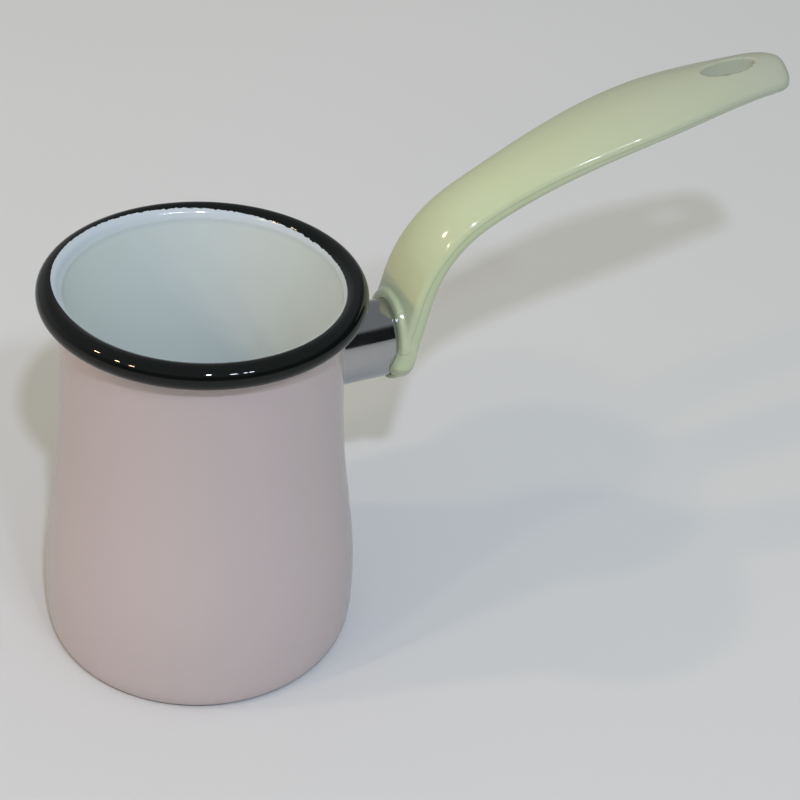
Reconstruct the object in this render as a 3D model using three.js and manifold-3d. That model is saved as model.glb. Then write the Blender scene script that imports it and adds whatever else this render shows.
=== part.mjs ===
// An enamelled steel Turkish coffee pot with a rolled rim and a moulded handle on a steel ferrule.
// Millimetres, +Z up. The origin is the centre of the flat base, and the handle points along +X.
import * as THREE from "three";
import { mergeVertices } from "three/addons/utils/BufferGeometryUtils.js";
import Module from "manifold-3d";

const wasm = await Module();
wasm.setup();

// Pot, finished sizes over the enamel
const POT_HEIGHT = 105; // base to the top of the rolled rim
const RIM_DIAMETER = 80; // over the rolled rim
const ROLL_DIAMETER = 6.2; // section of the rolled rim
const BELLY_SWELL = 1.2; // how far the belly stands out past the rim
const BELLY_HEIGHT = 11; // level of the widest place
const BASE_CORNER = 3.2; // from the belly's side in to the edge of the flat base
const NECK_LENGTH = 10; // straight neck under the middle of the roll
const SHOULDER_PULL = 26; // how long the wall stays upright above the belly
const NECK_PULL = 46; // how long the wall stays upright below the neck
const STEEL = 0.6; // drawn sheet
const ENAMEL = 0.3; // one coat
const ROLL_END_ANGLE = -110; // where the sheet's edge stops under the roll, degrees from +R
const RIM_COAT_ANGLE = 128; // where the rim's dark coat meets the lining, degrees from +R
const COAT_REACH = 0.8; // the outside coat's top below the roll's middle, in roll radii
const BARE_EDGE_STEPS = 1; // steps of the base corner that the outside coat leaves bare
const AROUND = 40; // facets round the pot
const CORNER_STEPS = 5;
const WALL_STEPS = 8;
const ROLL_STEP_ANGLE = 32; // degrees per facet of the roll

// Handle fixing
const FERRULE_DROP = 28.2; // ferrule's axis below the top of the rim
const FERRULE_HEIGHT = 22;
const FERRULE_WIDTH = 17;
const FERRULE_SHEET = 0.6;
const FERRULE_STANDOFF = 2; // ferrule's end to the wall at its lower edge
const FERRULE_FACETS = 20;
const BOSS_DIAMETER = 9; // weld boss inside the ferrule
const BOSS_FOOT_REACH = 2.4; // how far the boss's foot enters the ferrule
const SCREW_DIAMETER = 5;
const SCREW_BITE = 9; // length of the screw inside the boss
const HEAD_DIAMETER = 8.6;
const HEAD_HEIGHT = 2.2;
const HEAD_DOME = 0.9; // part of the head's height that is rounded
const SLOT_WIDTH = 1.2;
const SLOT_DEPTH = 1.1;
const WASHER_DIAMETER = 8.8;
const WASHER_THICKNESS = 1;
const WASHER_SPLIT_ANGLE = 18; // degrees left open in the spring washer
const FIT = 0.3; // clearance where pieces seat on each other

// Handle
const COLLAR_REACH = 15.5; // collar's face from the neck's wall
const COLLAR_WALL = 1.5; // moulding round the ferrule
const COLLAR_RISE = 0.7; // collar's middle above the ferrule's axis
const COLLAR_LENGTH = 5;
const COLLAR_BEVEL = 0.8;
const POCKET_DEPTH = 1.5; // how far the ferrule enters the handle
const SCREW_WEB = 1.9; // material between the pocket and the screw's washer
const ROOT_DROP = 7.8; // lower end of the crown line below the ferrule's axis
const ROOT_LEAD = 3.6; // crown line's lower end ahead of the collar's face
const RISER_ANGLE = 77.2; // degrees above the horizontal
const RISER_LENGTH = 23.6;
const BEND_RADIUS = 36.7; // crown line between the riser and the grip
const GRIP_ANGLE = 28.7;
const TIP_ANGLE = 2.4;
const GRIP_LENGTH = 97.6;
const ROOT_WIDTH = 20.5;
const BEND_WIDTH = 19.3;
const PALM_WIDTH = 26.5;
const TIP_WIDTH = 19.6;
const PALM_SHARE = 0.56; // where the grip is widest, as a share of its length
const ROOT_DOME = 2; // middle of the section's top above its edges
const BEND_DOME = 2.7;
const TIP_DOME = 3.8;
const EDGE_ROUND = 2; // rounding of the section's upper edges
const ROOT_SIDE = 1.1; // upright side of the section below the rounded edge
const BEND_SIDE = 1.2;
const TIP_SIDE = 0.8;
const ROOT_BELLY = 5.5; // depth of the section's round underside
const BEND_BELLY = 4.4;
const TIP_BELLY = 0.7;
const DOME_STEPS = 3;
const EDGE_STEPS = 2;
const BELLY_STEPS = 5;
const ROOT_ROUND = 5; // length over which the lower end is rounded off
const TIP_ROUND = 8.5; // length over which the tip is rounded off
const TIP_CORNER = 2.8; // exponent of the tip's outline, 2 for a half round
const HANG_HOLE_LENGTH = 16.3;
const HANG_HOLE_WIDTH = 7;
const HANG_HOLE_FACETS = 18;
const HANG_HOLE_FROM_TIP = 17; // middle of the hole to the tip, along the crown
const DISH_LENGTH = 28; // hollow in the underside round the hole
const DISH_WIDTH = 15;
const DISH_HEIGHT = 3; // half its full height, from its deepest place to its widest
const DISH_WALL = 5; // left over the dish's deepest place
const DISH_FACETS = 24;

// Finishes
const pink = new THREE.MeshStandardMaterial({ color: 0xd9bfc0, roughness: 0.25, metalness: 0 });
const white = new THREE.MeshStandardMaterial({ color: 0xe3e9ea, roughness: 0.15, metalness: 0 });
const black = new THREE.MeshStandardMaterial({ color: 0x141816, roughness: 0.12, metalness: 0 });
const groundCoat = new THREE.MeshStandardMaterial({ color: 0x4a4038, roughness: 0.4, metalness: 0.3 });
const stainless = new THREE.MeshStandardMaterial({ color: 0xb4b6b6, roughness: 0.22, metalness: 1 });
const zinc = new THREE.MeshStandardMaterial({ color: 0x9c9fa2, roughness: 0.4, metalness: 1 });
const cream = new THREE.MeshStandardMaterial({ color: 0xc9d0a6, roughness: 0.22, metalness: 0 });

const radians = THREE.MathUtils.degToRad;
const HALF_TURN = Math.PI / 2;

// Solids

/** A closed three.js geometry as a manifold solid. */
function solidOf(geometry) {
  const bare = geometry.clone();
  bare.deleteAttribute("normal");
  bare.deleteAttribute("uv");
  const merged = mergeVertices(bare, 1e-4);
  return new wasm.Manifold(
    new wasm.Mesh({
      numProp: 3,
      vertProperties: merged.attributes.position.array,
      triVerts: new Uint32Array(merged.index.array),
    }),
  );
}

/** A manifold solid as a three.js geometry with flat facets. */
function geometryOf(solid) {
  const mesh = solid.getMesh();
  const geometry = new THREE.BufferGeometry();
  geometry.setAttribute("position", new THREE.BufferAttribute(mesh.vertProperties, 3));
  geometry.setIndex(new THREE.BufferAttribute(mesh.triVerts, 1));
  const flat = geometry.toNonIndexed();
  flat.computeVertexNormals();
  return flat;
}

/** A named mesh of one piece. */
function piece(name, geometry, material) {
  const mesh = new THREE.Mesh(geometry, material);
  mesh.name = name;
  return mesh;
}

/** A solid of revolution about Z from an anticlockwise (radius, height) outline. */
function revolve(outline, facets = AROUND) {
  const onAxis = outline[0].x === 0 && outline.at(-1).x === 0;
  const profile = onAxis ? outline : [...outline, outline[0].clone()];
  return new THREE.LatheGeometry(profile, facets).rotateX(HALF_TURN);
}

/** A solid of revolution about the X axis line at the ferrule's level, from (radius, x) points. */
function turned(outline, facets) {
  const onAxis = outline[0].x === 0 && outline.at(-1).x === 0;
  const profile = onAxis ? outline : [...outline, outline[0].clone()];
  return new THREE.LatheGeometry(profile, facets).rotateZ(-HALF_TURN).translate(0, 0, ferruleLevel);
}

/** An ellipse extruded along X between two distances from the pot's axis, at the ferrule's level. */
function ovalBar(width, height, from, to, { bevel = 0, rise = 0 } = {}) {
  const outline = new THREE.Shape();
  outline.absellipse(0, 0, width / 2 - bevel, height / 2 - bevel, 0, 2 * Math.PI);
  const bar = new THREE.ExtrudeGeometry(outline, {
    depth: to - from - 2 * bevel,
    curveSegments: FERRULE_FACETS,
    bevelEnabled: bevel > 0,
    bevelThickness: bevel,
    bevelSize: bevel,
    bevelSegments: 3,
  });
  return bar.translate(0, 0, bevel).rotateX(HALF_TURN).rotateZ(HALF_TURN).translate(from, 0, ferruleLevel + rise);
}

// Pot

const rimRadius = RIM_DIAMETER / 2;
const rollRadius = ROLL_DIAMETER / 2;
const rollCentre = new THREE.Vector2(rimRadius - rollRadius, POT_HEIGHT - rollRadius);
const wallThickness = STEEL + 2 * ENAMEL;
const neckRadius = rollCentre.x - rollRadius + wallThickness;
const ferruleLevel = POT_HEIGHT - FERRULE_DROP;
const collarFace = neckRadius + COLLAR_REACH;

/** Samples a curve of the outside profile as points with outward normals. */
function sampled(curve, steps, skipFirst) {
  const samples = [];
  for (let i = skipFirst ? 1 : 0; i <= steps; i++) {
    const tangent = curve.getTangent(i / steps);
    samples.push({ point: curve.getPoint(i / steps), normal: new THREE.Vector2(tangent.y, -tangent.x) });
  }
  return samples;
}

/** The finished outside of the pot, from the edge of the flat base up to the middle of the roll. */
function outsideProfile() {
  const bellyRadius = rimRadius + BELLY_SWELL;
  const baseRadius = bellyRadius - BASE_CORNER;
  const neckFoot = rollCentre.y - NECK_LENGTH;
  const corner = new THREE.CubicBezierCurve(
    new THREE.Vector2(baseRadius, 0),
    new THREE.Vector2(baseRadius + 0.84 * BASE_CORNER, 0),
    new THREE.Vector2(bellyRadius, 0.32 * BELLY_HEIGHT),
    new THREE.Vector2(bellyRadius, BELLY_HEIGHT),
  );
  const wall = new THREE.CubicBezierCurve(
    new THREE.Vector2(bellyRadius, BELLY_HEIGHT),
    new THREE.Vector2(bellyRadius, BELLY_HEIGHT + SHOULDER_PULL),
    new THREE.Vector2(neckRadius, neckFoot - NECK_PULL),
    new THREE.Vector2(neckRadius, neckFoot),
  );
  const coatTop = rollCentre.y - COAT_REACH * rollRadius;
  const neck = new THREE.LineCurve(new THREE.Vector2(neckRadius, neckFoot), new THREE.Vector2(neckRadius, coatTop));
  const underRoll = new THREE.LineCurve(neck.v2, new THREE.Vector2(neckRadius, rollCentre.y));
  return [
    ...sampled(corner, CORNER_STEPS, false),
    ...sampled(wall, WALL_STEPS, true),
    ...sampled(neck, 1, true),
    ...sampled(underRoll, 1, true),
  ];
}

const outside = outsideProfile();

/** The outside profile moved inwards by a depth. */
function inset(depth, from = 0) {
  return outside.slice(from).map(({ point, normal }) => point.clone().addScaledVector(normal, -depth));
}

/** An arc of the roll between two angles in degrees, end points included. */
function rollArc(radius, fromAngle, toAngle) {
  const steps = Math.max(1, Math.round(Math.abs(toAngle - fromAngle) / ROLL_STEP_ANGLE));
  const points = [];
  for (let i = 0; i <= steps; i++) {
    const angle = radians(fromAngle + ((toAngle - fromAngle) * i) / steps);
    points.push(new THREE.Vector2(Math.cos(angle), Math.sin(angle)).multiplyScalar(radius).add(rollCentre));
  }
  return points;
}

const axisPoint = (height) => new THREE.Vector2(0, height);
const steelRollRadius = rollRadius - ENAMEL;

/** The roll of the sheet's outside, in two stretches that meet where the rim's coat meets the lining. */
const rollUnderLining = rollArc(steelRollRadius, 180, RIM_COAT_ANGLE);
const rollUnderRimCoat = rollArc(steelRollRadius, RIM_COAT_ANGLE, ROLL_END_ANGLE);

/** Drawn sheet body: flat base, wall, and the rim rolled outwards and under. */
function bodyShell() {
  const hollowRoll = rollArc(steelRollRadius - STEEL, 180, ROLL_END_ANGLE);
  const outline = [
    axisPoint(0),
    ...inset(0).slice(0, BARE_EDGE_STEPS + 1),
    ...inset(ENAMEL, BARE_EDGE_STEPS).slice(0, -1),
    ...hollowRoll,
    ...rollUnderRimCoat.toReversed(),
    ...rollUnderLining.toReversed().slice(1),
    ...inset(ENAMEL + STEEL).toReversed().slice(1),
    axisPoint(ENAMEL + STEEL),
  ];
  return revolve(outline);
}

/** Coloured coat on the outside wall, with a hole where the weld boss stands on the sheet. */
function outsideCoat() {
  const outline = [
    ...inset(0, BARE_EDGE_STEPS).slice(0, -1),
    ...inset(ENAMEL, BARE_EDGE_STEPS).slice(0, -1).toReversed(),
  ];
  const clearance = ovalBar(footWidth + 2 * FIT, footHeight + 2 * FIT, 0, RIM_DIAMETER);
  return geometryOf(solidOf(revolve(outline)).subtract(solidOf(clearance)));
}

/** White coat on the inside, up over the inner side of the roll. */
function lining() {
  const outline = [
    axisPoint(ENAMEL + STEEL),
    ...inset(ENAMEL + STEEL).slice(0, -1),
    ...rollUnderLining,
    ...rollArc(rollRadius, RIM_COAT_ANGLE, 180),
    ...inset(wallThickness).toReversed().slice(1),
    axisPoint(wallThickness),
  ];
  return revolve(outline);
}

/** Dark coat round the rolled rim. */
function rimCoat() {
  return revolve([...rollUnderRimCoat, ...rollArc(rollRadius, ROLL_END_ANGLE, RIM_COAT_ANGLE)]);
}

// Handle fixing

const footWidth = FERRULE_WIDTH - 2 * (FERRULE_SHEET + FIT);
const footHeight = FERRULE_HEIGHT - 2 * (FERRULE_SHEET + FIT);
const ferruleStart = wallRadiusAt(ferruleLevel - FERRULE_HEIGHT / 2) + FERRULE_STANDOFF;
const ferruleEnd = collarFace + POCKET_DEPTH;
const bossEnd = ferruleEnd - 1;
const pocketFloor = ferruleEnd + FIT;
const headSeat = pocketFloor + SCREW_WEB;

/** Radius of the pot's finished outside at a height on its wall. */
function wallRadiusAt(height) {
  const above = outside.findIndex(({ point }) => point.y >= height);
  const upper = outside[above].point;
  const lower = outside[above - 1].point;
  return THREE.MathUtils.mapLinear(height, lower.y, upper.y, lower.x, upper.x);
}

/** Steel boss welded to the sheet: an oval foot, and a stem drilled for the handle's screw. */
function weldBoss() {
  const bore = SCREW_DIAMETER / 2 + FIT;
  const inWall = neckRadius / 2;
  const foot = ovalBar(footWidth, footHeight, inWall, ferruleStart + BOSS_FOOT_REACH);
  const stem = turned(
    [
      axisPoint(inWall + 1),
      new THREE.Vector2(BOSS_DIAMETER / 2, inWall + 1),
      new THREE.Vector2(BOSS_DIAMETER / 2, bossEnd),
      axisPoint(bossEnd),
    ],
    FERRULE_FACETS,
  );
  const drill = turned(
    [
      axisPoint(bossEnd - SCREW_BITE - FIT),
      new THREE.Vector2(bore, bossEnd - SCREW_BITE - FIT),
      new THREE.Vector2(bore, bossEnd + 1),
      axisPoint(bossEnd + 1),
    ],
    FERRULE_FACETS,
  );
  const pot = revolve([axisPoint(0), ...inset(0), axisPoint(rollCentre.y)]);
  return geometryOf(solidOf(foot).add(solidOf(stem)).subtract(solidOf(drill)).subtract(solidOf(pot)));
}

/** Stainless sleeve that covers the boss between the wall and the handle. */
function ferrule() {
  const outline = new THREE.Shape();
  outline.absellipse(0, 0, FERRULE_WIDTH / 2, FERRULE_HEIGHT / 2, 0, 2 * Math.PI);
  const opening = new THREE.Path();
  opening.absellipse(0, 0, FERRULE_WIDTH / 2 - FERRULE_SHEET, FERRULE_HEIGHT / 2 - FERRULE_SHEET, 0, 2 * Math.PI);
  outline.holes.push(opening);
  const sleeve = new THREE.ExtrudeGeometry(outline, {
    depth: ferruleEnd - ferruleStart,
    curveSegments: FERRULE_FACETS,
    bevelEnabled: false,
  });
  return sleeve.rotateX(HALF_TURN).rotateZ(HALF_TURN).translate(ferruleStart, 0, ferruleLevel);
}

/** Slotted pan-head screw from the back of the handle into the weld boss. */
function handleScrew() {
  const shank = SCREW_DIAMETER / 2;
  const head = HEAD_DIAMETER / 2;
  const under = headSeat + WASHER_THICKNESS + 2 * FIT;
  const blank = turned(
    [
      axisPoint(bossEnd - SCREW_BITE),
      new THREE.Vector2(shank, bossEnd - SCREW_BITE),
      new THREE.Vector2(shank, under),
      new THREE.Vector2(head, under),
      new THREE.Vector2(head, under + HEAD_HEIGHT - HEAD_DOME),
      new THREE.Vector2(head - HEAD_DOME, under + HEAD_HEIGHT),
      axisPoint(under + HEAD_HEIGHT),
    ],
    FERRULE_FACETS,
  );
  const slot = new THREE.BoxGeometry(2 * SLOT_DEPTH, HEAD_DIAMETER + 2, SLOT_WIDTH);
  slot.translate(under + HEAD_HEIGHT, 0, ferruleLevel);
  return geometryOf(solidOf(blank).subtract(solidOf(slot)));
}

/** Split spring washer under the screw's head. */
function springWasher() {
  const bore = SCREW_DIAMETER / 2 + FIT;
  const start = radians(WASHER_SPLIT_ANGLE / 2);
  const ring = new THREE.Shape();
  ring.absarc(0, 0, WASHER_DIAMETER / 2, start, 2 * Math.PI - start, false);
  ring.absarc(0, 0, bore, 2 * Math.PI - start, start, true);
  const washer = new THREE.ExtrudeGeometry(ring, {
    depth: WASHER_THICKNESS,
    curveSegments: FERRULE_FACETS,
    bevelEnabled: false,
  });
  return washer.rotateX(HALF_TURN).rotateZ(HALF_TURN).translate(headSeat + FIT, 0, ferruleLevel);
}

// Handle

/** A stretch of the crown line: a straight or an arc that starts at a point and a heading. */
function stretch(start, fromAngle, toAngle, length) {
  const turn = radians(toAngle - fromAngle);
  return (distance) => {
    const heading = radians(fromAngle) + (turn * distance) / length;
    const chord = turn === 0 ? distance : (2 * Math.sin((turn * distance) / length / 2) * length) / turn;
    const chordAngle = (radians(fromAngle) + heading) / 2;
    return {
      x: start.x + chord * Math.cos(chordAngle),
      z: start.z + chord * Math.sin(chordAngle),
      heading,
    };
  };
}

const bendLength = BEND_RADIUS * radians(RISER_ANGLE - GRIP_ANGLE);
const crownLength = RISER_LENGTH + bendLength + GRIP_LENGTH;
const crownStart = { x: collarFace - ROOT_LEAD, z: ferruleLevel - ROOT_DROP };
const riser = stretch(crownStart, RISER_ANGLE, RISER_ANGLE, RISER_LENGTH);
const bend = stretch(riser(RISER_LENGTH), RISER_ANGLE, GRIP_ANGLE, bendLength);
const grip = stretch(bend(bendLength), GRIP_ANGLE, TIP_ANGLE, GRIP_LENGTH);

/** The crown line's place and heading at a distance from the handle's lower end. */
function crownAt(distance) {
  if (distance <= RISER_LENGTH) return riser(distance);
  if (distance <= RISER_LENGTH + bendLength) return bend(distance - RISER_LENGTH);
  return grip(distance - RISER_LENGTH - bendLength);
}

const gripStart = RISER_LENGTH + bendLength;
const palm = gripStart + PALM_SHARE * GRIP_LENGTH;

/** A size along the crown that eases from one station's value to the next. */
function eased(stations, distance) {
  const next = stations.findIndex(([place]) => distance <= place);
  if (next < 1) return next === 0 ? stations[0][1] : stations.at(-1)[1];
  const [from, start] = stations[next - 1];
  const [to, end] = stations[next];
  return THREE.MathUtils.lerp(start, end, THREE.MathUtils.smoothstep(distance, from, to));
}

const widths = [[0, ROOT_WIDTH], [gripStart, BEND_WIDTH], [palm, PALM_WIDTH], [crownLength, TIP_WIDTH]];
const domes = [[0, ROOT_DOME], [gripStart, BEND_DOME], [crownLength, TIP_DOME]];
const sides = [[0, ROOT_SIDE], [gripStart, BEND_SIDE], [crownLength, TIP_SIDE]];
const bellies = [[0, ROOT_BELLY], [gripStart, BEND_BELLY], [crownLength, TIP_BELLY]];

/** How much of the full width is left near a rounded end. */
const roundedEnd = (toEnd, length, corner = 2) =>
  toEnd >= length ? 1 : (1 - (1 - toEnd / length) ** corner) ** (1 / corner);

/** Half a section, from the middle of its domed top over one edge to the middle of its underside. */
function halfSection(halfWidth, dome, side, belly) {
  const slope = (2 * dome) / halfWidth;
  const edgeAngle = Math.atan(slope);
  const edgeStart = halfWidth - EDGE_ROUND * (1 - Math.sin(edgeAngle));
  const edgeFoot = EDGE_ROUND * (slope - Math.hypot(1, slope)) - dome;
  const points = [];
  for (let i = 0; i < DOME_STEPS; i++) {
    const across = (edgeStart * i) / DOME_STEPS;
    points.push(new THREE.Vector2(across, -dome * (across / halfWidth) ** 2));
  }
  for (let i = 0; i <= EDGE_STEPS; i++) {
    const angle = THREE.MathUtils.lerp(edgeAngle, HALF_TURN, i / EDGE_STEPS);
    const across = halfWidth - EDGE_ROUND * (1 - Math.sin(angle));
    points.push(new THREE.Vector2(across, edgeFoot + EDGE_ROUND * Math.cos(angle)));
  }
  for (let i = 0; i < BELLY_STEPS; i++) {
    const angle = (HALF_TURN * i) / BELLY_STEPS;
    points.push(new THREE.Vector2(halfWidth * Math.cos(angle), edgeFoot - side - belly * Math.sin(angle)));
  }
  points.push(new THREE.Vector2(0, edgeFoot - side - belly));
  return points;
}

/** One closed outline of the handle at a distance along the crown, as points in space. */
function section(distance) {
  const { x, z, heading } = crownAt(distance);
  const endScale = roundedEnd(distance, ROOT_ROUND) * roundedEnd(crownLength - distance, TIP_ROUND, TIP_CORNER);
  const halfWidth = eased(widths, distance) / 2;
  const half = halfSection(halfWidth, eased(domes, distance), eased(sides, distance), eased(bellies, distance));
  const middle = half.at(-1).y / 2;
  const mirrored = half.slice(1, -1).map((point) => new THREE.Vector2(-point.x, point.y));
  return [...half.toReversed(), ...mirrored].map((point) => {
    const above = middle + (point.y - middle) * Math.sqrt(endScale);
    return [x - above * Math.sin(heading), point.x * endScale, z + above * Math.cos(heading)];
  });
}

/** Distances along the crown where the handle has a section, closer together at the ends and the bend. */
function sectionDistances() {
  const spread = (from, to, steps) => Array.from({ length: steps }, (_, i) => from + ((to - from) * i) / steps);
  const roundSteps = (from, to, steps, outward) =>
    Array.from({ length: steps }, (_, i) => {
      const angle = ((i + 0.35) / steps) * HALF_TURN;
      return THREE.MathUtils.lerp(from, to, outward ? Math.sin(angle) : 1 - Math.cos(angle));
    });
  return [
    ...roundSteps(0, ROOT_ROUND, 4, false),
    ...spread(ROOT_ROUND, RISER_LENGTH, 3),
    ...spread(RISER_LENGTH, gripStart, 7),
    ...spread(gripStart, crownLength - TIP_ROUND, 8),
    ...roundSteps(crownLength - TIP_ROUND, crownLength, 6, true),
  ];
}

/** The handle's outer form: its sections skinned in order, with both ends closed. */
function handleBlank() {
  const rings = sectionDistances().map(section);
  const positions = rings.flat(2);
  const around = rings[0].length;
  const indices = [];
  for (let ring = 0; ring + 1 < rings.length; ring++) {
    for (let i = 0; i < around; i++) {
      const next = (i + 1) % around;
      const a = ring * around + i;
      const b = ring * around + next;
      const c = a + around;
      const d = b + around;
      indices.push(a, b, c, b, d, c);
    }
  }
  const last = (rings.length - 1) * around;
  for (let i = 1; i + 1 < around; i++) {
    indices.push(0, i + 1, i, last, last + i, last + i + 1);
  }
  const blank = new THREE.BufferGeometry();
  blank.setAttribute("position", new THREE.Float32BufferAttribute(positions, 3));
  blank.setIndex(indices);
  return blank;
}

/** An oval hole through the tip, square to the crown. */
function hangHole() {
  const { x, z, heading } = crownAt(crownLength - HANG_HOLE_FROM_TIP);
  const outline = new THREE.Shape();
  outline.absellipse(0, 0, HANG_HOLE_LENGTH / 2, HANG_HOLE_WIDTH / 2, 0, 2 * Math.PI);
  const through = 4 * BEND_BELLY;
  const drill = new THREE.ExtrudeGeometry(outline, {
    depth: through,
    curveSegments: HANG_HOLE_FACETS,
    bevelEnabled: false,
  });
  return drill.translate(0, 0, -through / 2).rotateY(-heading).translate(x, 0, z);
}

/** A hollow in the tip's underside that thins the moulding round the hanging hole. */
function hangDish() {
  const { x, z, heading } = crownAt(crownLength - HANG_HOLE_FROM_TIP);
  const dish = new THREE.SphereGeometry(1, DISH_FACETS, DISH_FACETS / 2);
  dish.scale(DISH_LENGTH / 2, DISH_WIDTH / 2, DISH_HEIGHT).translate(0, 0, -DISH_WALL - DISH_HEIGHT);
  return dish.rotateY(-heading).translate(x, 0, z);
}

/** Moulded handle: collar over the ferrule, riser, bend, grip, hanging hole and the dish under it. */
function handle() {
  const collarWidth = FERRULE_WIDTH + 2 * (FIT + COLLAR_WALL);
  const collarHeight = FERRULE_HEIGHT + 2 * (FIT + COLLAR_WALL);
  const collarShape = { bevel: COLLAR_BEVEL, rise: COLLAR_RISE };
  const collar = ovalBar(collarWidth, collarHeight, collarFace, collarFace + COLLAR_LENGTH, collarShape);
  const pocket = ovalBar(FERRULE_WIDTH + 2 * FIT, FERRULE_HEIGHT + 2 * FIT, neckRadius, pocketFloor);
  const counterbore = Math.max(HEAD_DIAMETER, WASHER_DIAMETER) / 2 + FIT;
  const screwWay = turned(
    [
      axisPoint(collarFace),
      new THREE.Vector2(SCREW_DIAMETER / 2 + FIT, collarFace),
      new THREE.Vector2(SCREW_DIAMETER / 2 + FIT, headSeat),
      new THREE.Vector2(counterbore, headSeat),
      new THREE.Vector2(counterbore, headSeat + 2 * ROOT_BELLY),
      axisPoint(headSeat + 2 * ROOT_BELLY),
    ],
    FERRULE_FACETS,
  );
  return geometryOf(
    solidOf(handleBlank())
      .add(solidOf(collar))
      .subtract(solidOf(pocket))
      .subtract(solidOf(screwWay))
      .subtract(solidOf(hangDish()))
      .subtract(solidOf(hangHole())),
  );
}

const coffeePot = new THREE.Group();
coffeePot.add(
  piece("body_shell", bodyShell(), groundCoat),
  piece("outside_enamel", outsideCoat(), pink),
  piece("inside_enamel", lining(), white),
  piece("rim_enamel", rimCoat(), black),
  piece("weld_boss", weldBoss(), zinc),
  piece("ferrule", ferrule(), stainless),
  piece("handle", handle(), cream),
  piece("handle_screw", handleScrew(), zinc),
  piece("spring_washer", springWasher(), zinc),
);

export default coffeePot;
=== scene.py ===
"""An enamelled coffee pot with a moulded handle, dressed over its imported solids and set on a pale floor.

Sizes of the pot's classes are in millimetres and their angles in degrees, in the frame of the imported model:
the origin is the centre of the flat base, +Z is up and the handle points along +X. Meshes are made in metres,
and finishes and lamps have their places in metres too.
"""

from __future__ import annotations

import logging
import math
from dataclasses import dataclass, field
from enum import Enum
from typing import Any, Sequence

import bmesh
import bpy
import numpy as np
from mathutils import Matrix, Vector, noise

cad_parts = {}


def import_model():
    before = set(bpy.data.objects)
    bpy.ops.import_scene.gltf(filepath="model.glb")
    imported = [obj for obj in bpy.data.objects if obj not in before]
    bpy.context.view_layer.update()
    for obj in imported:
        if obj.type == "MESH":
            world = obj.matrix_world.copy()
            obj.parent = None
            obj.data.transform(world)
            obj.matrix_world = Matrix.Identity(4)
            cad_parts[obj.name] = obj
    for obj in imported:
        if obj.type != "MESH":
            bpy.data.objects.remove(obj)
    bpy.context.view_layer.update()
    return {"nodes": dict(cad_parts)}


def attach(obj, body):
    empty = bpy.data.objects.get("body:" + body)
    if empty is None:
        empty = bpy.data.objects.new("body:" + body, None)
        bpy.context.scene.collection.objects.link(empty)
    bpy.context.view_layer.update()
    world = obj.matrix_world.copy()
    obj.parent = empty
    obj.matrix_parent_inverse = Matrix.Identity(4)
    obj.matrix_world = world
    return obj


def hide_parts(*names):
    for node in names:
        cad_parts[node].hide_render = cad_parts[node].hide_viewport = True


LOG = logging.getLogger("coffee_pot")
MM = 0.001
MERGE = 1e-7
WELD = 0.002 * MM
QUARTER_TURN = math.pi / 2
FULL_TURN = 2 * math.pi
INWARDS = 180.0
BODY = "root"

# Numbers of the colour sockets on a mix node
MIX_FIRST = 6
MIX_SECOND = 7
MIX_RESULT = 2

# Colours of the lamps
WARM = (1.0, 0.70, 0.42)
COOL = (0.80, 0.88, 1.0)
BLUISH = (0.74, 0.78, 1.0)

Colour = tuple[float, float, float]
Triple = tuple[float, float, float]
Pair = tuple[float, float]
Outline = Sequence[Pair]
Reach = float | np.ndarray
Inputs = dict[str | int, Any]
Object = bpy.types.Object
Material = bpy.types.Material
Socket = bpy.types.NodeSocket


class Slot(Enum):
    """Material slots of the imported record."""

    GROUND_COAT = "ground_coated_steel"
    PINK = "pink_enamel"
    WHITE = "white_enamel"
    BLACK = "black_enamel"
    ZINC = "zinc_steel"
    STAINLESS = "stainless"
    MOULDING = "handle_moulding"


class Axis(Enum):
    """Line that a swept piece goes round, as the turn in radians about Y that brings +Z there."""

    UP = 0.0
    ALONG_HANDLE = QUARTER_TURN


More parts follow.
